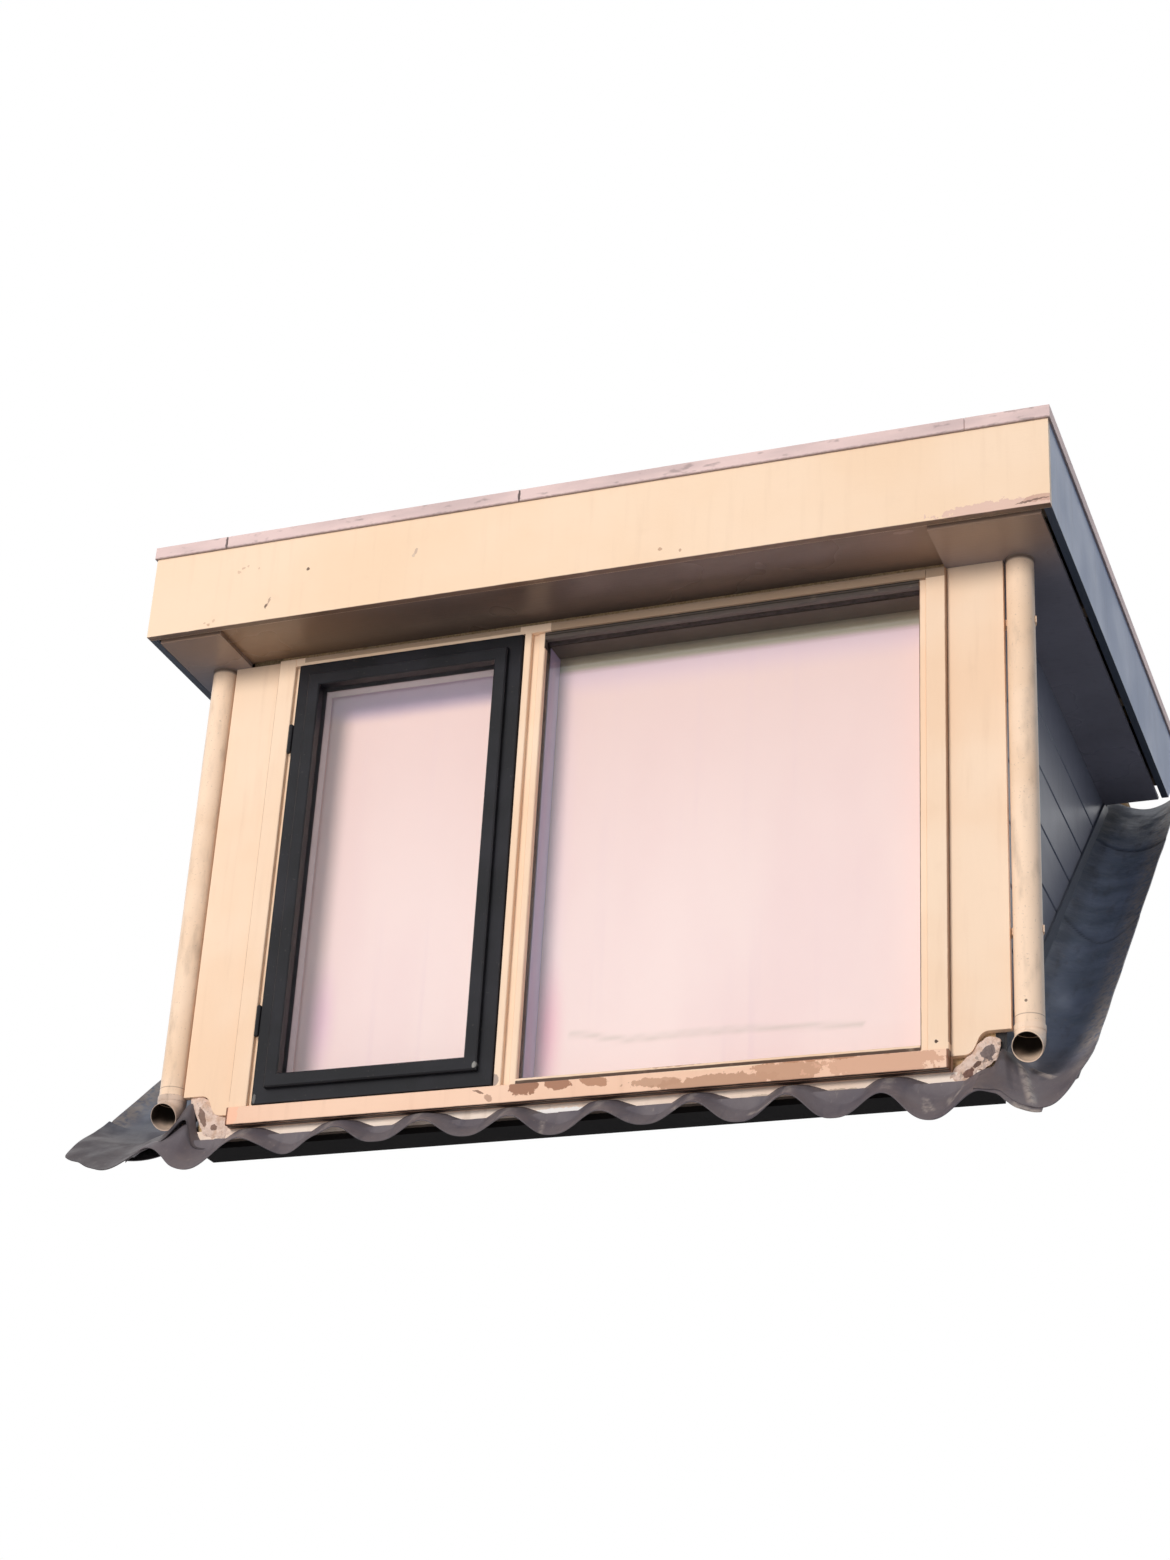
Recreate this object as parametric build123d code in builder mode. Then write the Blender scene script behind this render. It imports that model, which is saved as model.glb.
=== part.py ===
from build123d import *
import os
from math import cos, radians, sin, tan

os.makedirs("parts", exist_ok=True)

# Flat-roofed dormer window, mm. X runs across the front, Y into the roof, Z up.
# The origin is the middle of the underside of the sole beam, where the dormer stands on its trimmer.

# Driving sizes of the roof and of the timber front wall
roof_pitch = 42.0
frame_width = 1700.0
frame_height = 1181.0
frame_depth = 114.0
corner_width = 110.0
sole_height = 40.0
rafter_drop = 75.7
post_depth = 90.0
base_plate_depth = 70.0
cheek_core_thickness = 70.0
lining_thickness = 12.0
seat_gap = 0.3

# Cladding of the front and the cheeks
panel_thickness = 18.0
panel_overlap = 20.0
panel_foot_flat = 26.0
panel_foot_run = 84.0
panel_foot_drop = 10.0
panel_foot_rise = 41.0
base_strip_height = 26.0
base_strip_thickness = 12.0
frame_proud = 17.0
cheek_board_thickness = 18.0
cheek_board_cover = 155.0
groove_width = 10.0
groove_depth = 6.0
cheek_clearance = 159.0
slope_trim_width = 30.0
slope_trim_thickness = 6.0

# Flat roof, its overhang and the roof edge
side_overhang = 172.0
fascia_height = 252.7
fascia_thickness = 18.0
front_overhang = 181.0
soffit_thickness = 12.0
soffit_gap = 5.0
soffit_recess = 7.0
soffit_lap_left = 22.0
soffit_lap_right = 113.0
shadow_gap = 8.0
joist_height = 160.0
joist_width = 44.0
joist_pitch = 460.0
deck_thickness = 18.0
kerb_width = 44.0
membrane_thickness = 4.7
ceiling_thickness = 12.0
edge_trim_height = 33.0
edge_trim_thickness = 4.7
edge_trim_return = 60.0
edge_trim_joint = 1.5
front_joint_left = 198.0
front_joint_middle = 985.0
front_joint_right = 2074.0
side_joint_front = 201.0
side_joint_rear = 1101.0
seal_rise = 30.0

# Window frame, casement and panes
jamb_face = 46.0
frame_lip = 17.0
sash_rebate_inset = 57.0
sash_rebate_step = 12.0
head_face = 21.0
sill_height = 44.0
sill_proud = 6.0
sill_nose = 4.0
sill_drip_width = 6.0
sill_drip_depth = 5.0
sill_drip_setback = 10.0
casement_bay = 663.0
mullion_face = 33.5
mullion_strip = 17.5
mullion_step = 14.0
frame_arris = 1.5
rebate_depth = 52.3
sash_rebate_depth = 63.3
bead_setback = 8.0
bead_depth = 16.0
bead_width = 17.0
bead_bevel = 2.0
pane_edge = 3.5
sash_play = 3.0
sash_proud = 4.0
sash_thickness = 67.0
sash_face = 34.0
sash_arris = 2.0
sash_bead_proud = 14.0
sash_bead_depth = 26.0
sash_bead_width = 32.0
sash_bead_bevel = 3.0
sash_glass_thickness = 24.0
hinge_height = 80.0
hinge_radius = 6.0
hinge_low = 210.0
hinge_high = 954.0
blind_thickness = 3.0
blind_drop_gap = 2.0
blind_overlap = 12.0
blind_tail = 25.0
roller_radius = 14.0
roller_bracket = 3.0

# Rainwater pipes
pipe_radius = 32.0
pipe_wall = 2.5
pipe_stand_off = 57.0
pipe_hole_play = 1.0
pipe_setback = 30.0
pipe_end_rise = 35.0
elbow_gap = 2.0
socket_lap = 12.0
socket_wall = 2.7
elbow_wall = 4.0
elbow_radius = 42.0
elbow_angle = 60.0
elbow_outlet = 12.0
elbow_mitres = 5
pipe_rise = 60.0
clip_width = 16.0
clip_wall = 3.0
clip_low = 260.0
clip_high = 1020.0

# Lead dressed over the roof
lead_thickness = 4.0
lead_lift = 108.0
lead_roll_pitch = 217.0
lead_roll_rise = 16.0
lead_width_left = 291.0
lead_width_right = 177.0
lead_first_roll = 275.0
apron_crest_reach = 50.0
apron_valley_reach = 86.0
apron_corner_reach = 130.0
apron_notch_reach = 35.0
lead_channel_dip = 30.0

# Levels and planes that follow from the sizes above
pitch = radians(roof_pitch)
wall_front = -post_depth / 2
wall_back = post_depth / 2
panel_front = wall_front - panel_thickness
frame_front = panel_front - frame_proud
frame_back = frame_front + frame_depth
sill_bottom = sole_height + seat_gap
frame_base = sill_bottom + sill_height
frame_top = frame_base + frame_height
half_frame = frame_width / 2
half_cheek = half_frame + corner_width
core_outer = half_cheek - cheek_board_thickness
core_inner = core_outer - cheek_core_thickness
side_soffit_level = frame_top + soffit_gap
front_soffit_level = side_soffit_level + soffit_thickness
joist_level = front_soffit_level + soffit_thickness
deck_level = joist_level + joist_height
kerb_level = deck_level + deck_thickness
half_fascia = half_cheek + side_overhang
fascia_front_face = frame_front - front_overhang
fascia_back = fascia_front_face + fascia_thickness
fascia_bottom = side_soffit_level + soffit_recess
fascia_top = fascia_bottom + fascia_height
fascia_inner = half_fascia - fascia_thickness
kerb_height = fascia_top - membrane_thickness - kerb_level
soffit_front_edge = fascia_back + shadow_gap
soffit_outer = fascia_inner - shadow_gap
plate_rise = base_plate_depth / cos(pitch)
sealed_lift = cheek_clearance + seal_rise
half_panel = half_cheek + panel_overlap
pipe_offset = half_cheek + pipe_stand_off
pipe_y = frame_front + pipe_setback
pipe_end = frame_base + pipe_end_rise
elbow_top = pipe_end - elbow_gap
socket_top = pipe_end + socket_lap
strip_front = wall_front - base_strip_thickness
rebate_back = frame_front + rebate_depth
sash_rebate_back = frame_front + sash_rebate_depth
head_under = frame_top - head_face
sash_rebate_left = -half_frame + sash_rebate_inset
mullion_left = -half_frame + casement_bay
glazed_left = mullion_left + mullion_face
glazed_right = half_frame - jamb_face
rear_limit = 2400.0


def roof_height(y, lift):
    """Height of the sloping plane that lies lift above the rafters, at depth y."""
    return (y - wall_front) * tan(pitch) + lift - rafter_drop


def roof_reach(z, lift):
    """Depth at which the same plane reaches height z."""
    return (z - lift + rafter_drop) / tan(pitch) + wall_front


def slope_plane(lift):
    """Plane parallel to the rafters, facing up and out of the roof."""
    base = (0, wall_front, lift - rafter_drop)
    return Plane(origin=base, x_dir=(1, 0, 0), z_dir=(0, -sin(pitch), cos(pitch)))


def section_plane(lift):
    """Plane square to the slope, its normal pointing down the roof."""
    base = (0, wall_front, lift - rafter_drop)
    return Plane(origin=base, x_dir=(1, 0, 0), z_dir=(0, -cos(pitch), -sin(pitch)))


def side_sheet(side, inner, outer):
    """Plane and thickness of a sheet that stands between two distances from the middle."""
    start = min(side * inner, side * outer)
    return Plane.YZ.offset(start), outer - inner


def save(piece, name):
    piece.part.label = name
    export_step(piece.part, f"parts/{name}.step")


def block(x_range, y_range, z_range):
    """One rectangular length of timber or board between three pairs of limits."""
    with BuildPart() as piece:
        with BuildSketch(Plane.XY.offset(z_range[0])):
            with Locations((sum(x_range) / 2, sum(y_range) / 2)):
                Rectangle(x_range[1] - x_range[0], y_range[1] - y_range[0])
        extrude(amount=z_range[1] - z_range[0])
    return piece


sides = (("left", -1), ("right", 1))

# Base in the roof: sole beam, sloping base plates and rear header

with BuildPart() as sole_beam:
    with BuildSketch(Plane.XY):
        Rectangle(2 * core_outer, post_depth)
    extrude(amount=sole_height)
save(sole_beam, "sole_beam")

for name, side in sides:
    sheet, thickness = side_sheet(side, core_inner, core_outer)
    plate_start = wall_back + seat_gap
    plate_top = joist_level - seat_gap
    with BuildPart() as base_plate:
        with BuildSketch(sheet):
            with BuildLine():
                Polyline(
                    (plate_start, roof_height(plate_start, 0)),
                    (roof_reach(plate_top, 0), plate_top),
                    (roof_reach(plate_top, plate_rise), plate_top),
                    (plate_start, roof_height(plate_start, plate_rise)),
                    close=True,
                )
            make_face()
        extrude(amount=thickness)
    save(base_plate, f"base_plate_{name}")

with BuildPart() as rear_header:
    header_bottom = joist_level
    header_top = deck_level - seat_gap
    with BuildSketch(Plane.YZ.offset(-core_outer)):
        with BuildLine():
            Polyline(
                (roof_reach(header_bottom, 0), header_bottom),
                (roof_reach(header_top, 0), header_top),
                (roof_reach(header_top, plate_rise), header_top),
                (roof_reach(header_bottom, plate_rise), header_bottom),
                close=True,
            )
        make_face()
    extrude(amount=2 * core_outer)
save(rear_header, "rear_header")

# Front wall timbers

for name, side in sides:
    outer = side * core_outer
    inner = side * (half_frame + seat_gap)
    post_span = (min(inner, outer), max(inner, outer))
    corner_post = block(post_span, (wall_front, wall_back), (sill_bottom, joist_level - seat_gap))
    save(corner_post, f"corner_post_{name}")

head_beam = block(
    (-half_frame, half_frame),
    (panel_front, wall_back),
    (frame_top + seat_gap, joist_level - seat_gap),
)
save(head_beam, "head_beam")

with BuildPart() as base_strip:
    with BuildSketch(Plane.XZ.offset(-wall_front + seat_gap)):
        with Locations((0, sole_height - base_strip_height / 2)):
            Rectangle(2 * half_cheek, base_strip_height)
    extrude(amount=base_strip_thickness - seat_gap)
save(base_strip, "base_strip")

# Cheeks: core, grooved boards outside, lining inside, trim along the cut

for name, side in sides:
    core_start = wall_back + seat_gap
    core_lift = plate_rise + seat_gap
    core_top = joist_level - seat_gap
    sheet, thickness = side_sheet(side, core_inner, core_outer)
    with BuildPart() as cheek_core:
        with BuildSketch(sheet):
            with BuildLine():
                Polyline(
                    (core_start, roof_height(core_start, core_lift)),
                    (roof_reach(core_top, core_lift), core_top),
                    (core_start, core_top),
                    close=True,
                )
            make_face()
        extrude(amount=thickness)
    save(cheek_core, f"cheek_core_{name}")

    board_start = wall_front + seat_gap
    board_top = front_soffit_level - seat_gap
    sheet, thickness = side_sheet(side, core_outer + seat_gap, half_cheek)
    with BuildPart() as cheek_boards:
        with BuildSketch(sheet):
            with BuildLine():
                Polyline(
                    (board_start, roof_height(board_start, cheek_clearance)),
                    (roof_reach(board_top, cheek_clearance), board_top),
                    (board_start, board_top),
                    close=True,
                )
            make_face()
        extrude(amount=thickness)
        groove_level = board_top - cheek_board_cover
        while groove_level > roof_height(board_start, cheek_clearance):
            with BuildSketch(Plane.XZ.offset(-board_start)):
                with BuildLine():
                    Polyline(
                        (side * half_cheek, groove_level - groove_width / 2),
                        (side * (half_cheek - groove_depth), groove_level),
                        (side * half_cheek, groove_level + groove_width / 2),
                        close=True,
                    )
                make_face()
            extrude(amount=-rear_limit, mode=Mode.SUBTRACT)
            groove_level -= cheek_board_cover
    save(cheek_boards, f"cheek_boards_{name}")

    trim_rise = slope_trim_width / cos(pitch)
    trim_top = side_soffit_level - seat_gap
    trim_start = board_start
    face = half_cheek + seat_gap
    sheet, thickness = side_sheet(side, face, face + slope_trim_thickness)
    with BuildPart() as slope_trim:
        with BuildSketch(sheet):
            with BuildLine():
                Polyline(
                    (trim_start, roof_height(trim_start, cheek_clearance)),
                    (roof_reach(trim_top, cheek_clearance), trim_top),
                    (roof_reach(trim_top, cheek_clearance + trim_rise), trim_top),
                    (trim_start, roof_height(trim_start, cheek_clearance + trim_rise)),
                    close=True,
                )
            make_face()
        extrude(amount=thickness)
    save(slope_trim, f"slope_trim_{name}")

    lining_top = joist_level - ceiling_thickness - seat_gap
    lining_outer = core_inner - seat_gap
    sheet, thickness = side_sheet(side, lining_outer - lining_thickness, lining_outer)
    with BuildPart() as lining:
        with BuildSketch(sheet):
            with BuildLine():
                Polyline(
                    (core_start, roof_height(core_start, 0)),
                    (roof_reach(lining_top, 0), lining_top),
                    (core_start, lining_top),
                    close=True,
                )
            make_face()
        extrude(amount=thickness)
    save(lining, f"lining_{name}")

# Front panels beside the window, their feet cut round the first roll of the roof

for name, side in sides:
    panel_inner = half_frame + seat_gap
    panel_top = side_soffit_level - seat_gap
    foot_low = frame_base - panel_foot_drop
    foot_high = frame_base + panel_foot_rise
    foot_start = panel_inner + panel_foot_flat
    foot_end = panel_inner + panel_foot_run
    with BuildPart() as front_panel:
        with BuildSketch(Plane.XZ.offset(-wall_front)):
            with BuildLine():
                Line((side * panel_inner, panel_top), (side * panel_inner, foot_low))
                Line((side * panel_inner, foot_low), (side * foot_start, foot_low))
                Spline(
                    (side * foot_start, foot_low),
                    (side * foot_end, foot_high),
                    tangents=((side, 0), (side, 0)),
                )
                Line((side * foot_end, foot_high), (side * half_panel, foot_high))
                Line((side * half_panel, foot_high), (side * half_panel, panel_top))
                Line((side * half_panel, panel_top), (side * panel_inner, panel_top))
            make_face()
        extrude(amount=panel_thickness)
    save(front_panel, f"front_panel_{name}")

# Flat roof: joists with side outriggers, ceiling, deck, kerb and membrane

with BuildPart() as roof_joists:
    joist_front = fascia_back + seat_gap
    joist_end = roof_reach(deck_level, plate_rise) - seat_gap
    joist_count = int(2 * core_inner / joist_pitch) + 1
    with BuildSketch(Plane.XY.offset(joist_level)):
        with Locations((0, (joist_front + joist_end) / 2)):
            with GridLocations(joist_pitch, 1, joist_count, 1):
                Rectangle(joist_width, joist_end - joist_front)
    extrude(amount=joist_height - seat_gap)
    split(bisect_by=slope_plane(plate_rise + seat_gap), keep=Keep.TOP)
save(roof_joists, "roof_joists")

arm_level = front_soffit_level + seat_gap
for name, side in sides:
    rim_outer = side * core_outer
    rim_inner = side * (core_outer - joist_width)
    arm_outer = side * (fascia_inner - seat_gap)
    arm_count = int((roof_reach(arm_level, sealed_lift) - joist_front) / joist_pitch) + 1
    with BuildPart() as side_frame:
        with BuildSketch(Plane.XY.offset(joist_level)):
            with Locations(((rim_outer + rim_inner) / 2, (joist_front + joist_end) / 2)):
                Rectangle(joist_width, joist_end - joist_front)
        extrude(amount=joist_height - seat_gap)
        split(bisect_by=slope_plane(plate_rise + seat_gap), keep=Keep.TOP)
        with BuildSketch(Plane.XY.offset(arm_level)):
            for step in range(arm_count):
                arm_y = joist_front + joist_width / 2 + step * joist_pitch
                with Locations(((rim_outer + arm_outer) / 2, arm_y)):
                    Rectangle(abs(arm_outer - rim_outer), joist_width)
        extrude(amount=deck_level - seat_gap - arm_level)
    save(side_frame, f"side_frame_{name}")

ceiling = block(
    (-core_inner + seat_gap, core_inner - seat_gap),
    (wall_back + seat_gap, roof_reach(joist_level - ceiling_thickness, plate_rise) - seat_gap),
    (joist_level - ceiling_thickness, joist_level - seat_gap),
)
save(ceiling, "ceiling")

with BuildPart() as roof_deck:
    deck_front = fascia_back + seat_gap
    deck_side = fascia_inner - seat_gap
    deck_rear = roof_reach(kerb_level, 0)
    with BuildSketch(Plane.XY.offset(deck_level)):
        with Locations((0, (deck_front + deck_rear) / 2)):
            Rectangle(2 * deck_side, deck_rear - deck_front)
    extrude(amount=deck_thickness)
    split(bisect_by=slope_plane(0), keep=Keep.TOP)
    with BuildSketch(Plane.XY.offset(deck_level)):
        notch_front = roof_reach(deck_level, sealed_lift)
        for side in (-1, 1):
            with Locations((side * (half_cheek + half_fascia) / 2, (notch_front + rear_limit) / 2)):
                Rectangle(half_fascia - half_cheek, rear_limit - notch_front)
    extrude(amount=deck_thickness, mode=Mode.SUBTRACT)
save(roof_deck, "roof_deck")

with BuildPart() as roof_kerb:
    kerb_base = kerb_level + seat_gap
    with BuildSketch(Plane.XY.offset(kerb_base)):
        with Locations((0, (deck_front + rear_limit) / 2)):
            Rectangle(2 * deck_side, rear_limit - deck_front)
        with Locations((0, (deck_front + kerb_width + rear_limit) / 2)):
            Rectangle(
                2 * (deck_side - kerb_width),
                rear_limit - deck_front - kerb_width,
                mode=Mode.SUBTRACT,
            )
    extrude(amount=kerb_height - seat_gap)
    split(bisect_by=slope_plane(sealed_lift), keep=Keep.TOP)
save(roof_kerb, "roof_kerb")

with BuildPart() as roof_membrane:
    field_base = kerb_level + seat_gap
    field_top = field_base + membrane_thickness
    kerb_top = kerb_level + kerb_height + seat_gap
    cover_top = kerb_top + membrane_thickness - seat_gap
    skin_inner = deck_side - kerb_width - seat_gap - membrane_thickness
    skin_front = deck_front + kerb_width + seat_gap + membrane_thickness
    with BuildSketch(Plane.XY.offset(field_base)):
        with Locations((0, (deck_front + rear_limit) / 2)):
            Rectangle(2 * deck_side, rear_limit - deck_front)
    extrude(amount=cover_top - field_base)
    with BuildSketch(Plane.XY.offset(field_top)):
        with Locations((0, (skin_front + rear_limit) / 2)):
            Rectangle(2 * skin_inner, rear_limit - skin_front)
    extrude(amount=cover_top - field_top, mode=Mode.SUBTRACT)
    with BuildSketch(Plane.XY.offset(field_base)):
        with Locations((0, (deck_front + rear_limit) / 2)):
            Rectangle(2 * deck_side, rear_limit - deck_front)
        with Locations((0, (deck_front + kerb_width + seat_gap + rear_limit) / 2)):
            Rectangle(
                2 * (deck_side - kerb_width - seat_gap),
                rear_limit - deck_front - kerb_width - seat_gap,
                mode=Mode.SUBTRACT,
            )
    extrude(amount=kerb_top - field_base, mode=Mode.SUBTRACT)
    split(bisect_by=slope_plane(sealed_lift), keep=Keep.TOP)
save(roof_membrane, "roof_membrane")

# Fascia boards and soffits

fascia_front = block(
    (-half_fascia, half_fascia),
    (fascia_front_face, fascia_back),
    (fascia_bottom, fascia_top),
)
save(fascia_front, "fascia_front")

for name, side in sides:
    with BuildPart() as fascia_side:
        with BuildSketch(Plane.XY.offset(fascia_bottom)):
            fascia_start = fascia_back + seat_gap
            with Locations((side * (half_fascia + fascia_inner) / 2, (fascia_start + rear_limit) / 2)):
                Rectangle(fascia_thickness, rear_limit - fascia_start)
        extrude(amount=fascia_height)
        split(bisect_by=slope_plane(sealed_lift), keep=Keep.TOP)
    save(fascia_side, f"fascia_{name}")

front_soffit_back = panel_front - seat_gap
with BuildPart() as soffit_front:
    left_edge = -half_cheek + soffit_lap_left + seat_gap
    right_edge = half_cheek - soffit_lap_right - seat_gap
    with BuildSketch(Plane.XY.offset(front_soffit_level)):
        with Locations(((left_edge + right_edge) / 2, (fascia_back + seat_gap + front_soffit_back) / 2)):
            Rectangle(right_edge - left_edge, front_soffit_back - fascia_back - seat_gap)
    extrude(amount=soffit_thickness - seat_gap)
save(soffit_front, "soffit_front")

for name, side in sides:
    split_edge = half_cheek - (soffit_lap_left if side < 0 else soffit_lap_right)
    soffit_inner = half_cheek + seat_gap
    with BuildPart() as soffit_side:
        with BuildSketch(Plane.XY.offset(side_soffit_level)):
            with BuildLine():
                Polyline(
                    (side * split_edge, soffit_front_edge),
                    (side * soffit_outer, soffit_front_edge),
                    (side * soffit_outer, rear_limit),
                    (side * soffit_inner, rear_limit),
                    (side * soffit_inner, front_soffit_back),
                    (side * split_edge, front_soffit_back),
                    close=True,
                )
            make_face()
            with Locations((side * pipe_offset, pipe_y)):
                Circle(pipe_radius + pipe_hole_play, mode=Mode.SUBTRACT)
        extrude(amount=soffit_thickness)
        split(bisect_by=slope_plane(sealed_lift), keep=Keep.TOP)
    save(soffit_side, f"soffit_{name}")

# Roof edge trim: an aluminium angle round three sides, in lengths with open joints

with BuildPart() as edge_trim:
    skirt_inner = half_fascia + seat_gap
    skirt_outer = skirt_inner + edge_trim_thickness
    flange_inner = skirt_outer - edge_trim_return
    skirt_front = fascia_front_face - seat_gap - edge_trim_thickness
    trim_base = cover_top + seat_gap
    trim_crown = trim_base + edge_trim_thickness
    trim_foot = trim_crown - edge_trim_height
    with BuildSketch(Plane.XY.offset(trim_foot)):
        with Locations((0, (skirt_front + rear_limit) / 2)):
            Rectangle(2 * skirt_outer, rear_limit - skirt_front)
        with Locations((0, (skirt_front + edge_trim_thickness + rear_limit) / 2)):
            Rectangle(
                2 * skirt_inner,
                rear_limit - skirt_front - edge_trim_thickness,
                mode=Mode.SUBTRACT,
            )
    extrude(amount=edge_trim_height)
    with BuildSketch(Plane.XY.offset(trim_base)):
        with Locations((0, (skirt_front + rear_limit) / 2)):
            Rectangle(2 * skirt_outer, rear_limit - skirt_front)
        with Locations((0, (skirt_front + edge_trim_return + rear_limit) / 2)):
            Rectangle(
                2 * flange_inner,
                rear_limit - skirt_front - edge_trim_return,
                mode=Mode.SUBTRACT,
            )
    extrude(amount=edge_trim_thickness)
    split(bisect_by=slope_plane(sealed_lift), keep=Keep.TOP)
    with BuildSketch(Plane.XY.offset(trim_foot)):
        for joint in (front_joint_left, front_joint_middle, front_joint_right):
            with Locations((joint - half_fascia, skirt_front)):
                Rectangle(edge_trim_joint, 3 * edge_trim_return)
        for joint in (side_joint_front, side_joint_rear):
            joint_y = fascia_front_face + joint
            with Locations((-skirt_outer, joint_y), (skirt_outer, joint_y)):
                Rectangle(3 * edge_trim_return, edge_trim_joint)
    extrude(amount=edge_trim_height, mode=Mode.SUBTRACT)
save(edge_trim, "edge_trim")

# Window frame: jambs, head, sill and mullion with their rebates


def profile(points, z_low, z_high):
    """A length of joinery with one cross-section, standing between two levels."""
    with BuildPart() as piece:
        with BuildSketch(Plane.XY.offset(z_low)):
            with BuildLine():
                Polyline(*points, close=True)
            make_face()
        extrude(amount=z_high - z_low)
    return piece


jamb_base = frame_base + seat_gap
frame_face = frame_front + frame_arris
sash_lip_left = sash_rebate_left + frame_lip
sash_lip_right = mullion_left - frame_lip
glazed_lip_left = glazed_left + frame_lip
glazed_lip_right = glazed_right - frame_lip

frame_jamb_left = profile(
    (
        (-half_frame, frame_face),
        (-half_frame + frame_arris, frame_front),
        (-half_frame + jamb_face - frame_arris, frame_front),
        (-half_frame + jamb_face, frame_face),
        (-half_frame + jamb_face, frame_front + sash_rebate_step),
        (sash_rebate_left, frame_front + sash_rebate_step),
        (sash_rebate_left, sash_rebate_back),
        (sash_lip_left, sash_rebate_back),
        (sash_lip_left, frame_back),
        (-half_frame, frame_back),
    ),
    jamb_base,
    frame_top,
)
save(frame_jamb_left, "frame_jamb_left")

frame_jamb_right = profile(
    (
        (half_frame, frame_face),
        (half_frame - frame_arris, frame_front),
        (glazed_right + frame_arris, frame_front),
        (glazed_right, frame_face),
        (glazed_right, rebate_back),
        (glazed_lip_right, rebate_back),
        (glazed_lip_right, frame_back),
        (half_frame, frame_back),
    ),
    jamb_base,
    frame_top,
)
save(frame_jamb_right, "frame_jamb_right")

strip_edge = mullion_left + mullion_strip
mullion_face_back = frame_front + mullion_step
frame_mullion = profile(
    (
        (mullion_left, frame_face),
        (mullion_left + frame_arris, frame_front),
        (strip_edge - frame_arris, frame_front),
        (strip_edge, frame_face),
        (strip_edge, mullion_face_back),
        (glazed_left, mullion_face_back),
        (glazed_left, rebate_back),
        (glazed_lip_left, rebate_back),
        (glazed_lip_left, frame_back),
        (sash_lip_right, frame_back),
        (sash_lip_right, sash_rebate_back),
        (mullion_left, sash_rebate_back),
    ),
    jamb_base,
    head_under - seat_gap,
)
save(frame_mullion, "frame_mullion")

with BuildPart() as frame_head:
    rail_left = -half_frame + jamb_face + seat_gap
    with BuildSketch(Plane.XY.offset(head_under)):
        with BuildLine():
            Polyline(
                (rail_left, frame_front),
                (glazed_right - seat_gap, frame_front),
                (glazed_right - seat_gap, rebate_back - seat_gap),
                (glazed_lip_right - seat_gap, rebate_back - seat_gap),
                (glazed_lip_right - seat_gap, frame_back),
                (sash_lip_left + seat_gap, frame_back),
                (sash_lip_left + seat_gap, sash_rebate_back - seat_gap),
                (sash_rebate_left + seat_gap, sash_rebate_back - seat_gap),
                (sash_rebate_left + seat_gap, frame_front + sash_rebate_step - seat_gap),
                (rail_left, frame_front + sash_rebate_step - seat_gap),
                close=True,
            )
        make_face()
    extrude(amount=head_face)
    with BuildSketch(Plane.XY.offset(head_under)):
        lip_spans = (
            (sash_lip_left + seat_gap, sash_lip_right - seat_gap, sash_rebate_back),
            (glazed_lip_left + seat_gap, glazed_lip_right - seat_gap, rebate_back),
        )
        for start, end, lip_front in lip_spans:
            with Locations(((start + end) / 2, (lip_front + frame_back) / 2)):
                Rectangle(end - start, frame_back - lip_front)
    extrude(amount=-frame_lip)
save(frame_head, "frame_head")

with BuildPart() as frame_sill:
    sill_front = frame_front - sill_proud
    with BuildSketch(Plane.XY.offset(sill_bottom)):
        with Locations((0, (sill_front + frame_back) / 2)):
            Rectangle(2 * half_frame, frame_back - sill_front)
    extrude(amount=sill_height)
    nose_edges = frame_sill.faces().sort_by(Axis.Y)[0].edges().filter_by(Axis.X)
    fillet(nose_edges, radius=sill_nose)
    with BuildSketch(Plane.XY.offset(sill_bottom)):
        with Locations((0, sill_front + sill_drip_setback)):
            Rectangle(2 * half_frame, sill_drip_width)
    extrude(amount=sill_drip_depth, mode=Mode.SUBTRACT)
    with BuildSketch(Plane.XY.offset(frame_base)):
        for start, end, lip_front in lip_spans:
            with Locations(((start + end) / 2, (lip_front + frame_back) / 2)):
                Rectangle(end - start, frame_back - lip_front)
    extrude(amount=frame_lip)
save(frame_sill, "frame_sill")

# Rings that fill a rebate: beads, the casement and their panes


def ring(x_range, z_range, face_y, depth, width, bevel):
    """A frame of one width round a rectangular opening, its face at face_y and its front edges bevelled."""
    with BuildPart() as piece:
        with BuildSketch(Plane.XZ.offset(-face_y - depth)):
            with Locations((sum(x_range) / 2, sum(z_range) / 2)):
                Rectangle(x_range[1] - x_range[0], z_range[1] - z_range[0])
                Rectangle(
                    x_range[1] - x_range[0] - 2 * width,
                    z_range[1] - z_range[0] - 2 * width,
                    mode=Mode.SUBTRACT,
                )
        extrude(amount=depth)
        chamfer(piece.faces().sort_by(Axis.Y)[0].edges(), length=bevel)
    return piece


def inset(limits, amount):
    """The same pair of limits, drawn in by amount at each end."""
    return limits[0] + amount, limits[1] - amount


glazed_x = (glazed_left, glazed_right)
glazed_z = (frame_base, head_under)
bead_face = frame_front + bead_setback
fixed_bead = ring(
    inset(glazed_x, seat_gap),
    inset(glazed_z, seat_gap),
    bead_face,
    bead_depth,
    bead_width,
    bead_bevel,
)
save(fixed_bead, "fixed_bead")

fixed_pane_front = bead_face + bead_depth + seat_gap
fixed_glass = block(
    inset(glazed_x, pane_edge),
    (fixed_pane_front, rebate_back - seat_gap),
    inset(glazed_z, pane_edge),
)
save(fixed_glass, "fixed_glass")

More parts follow.
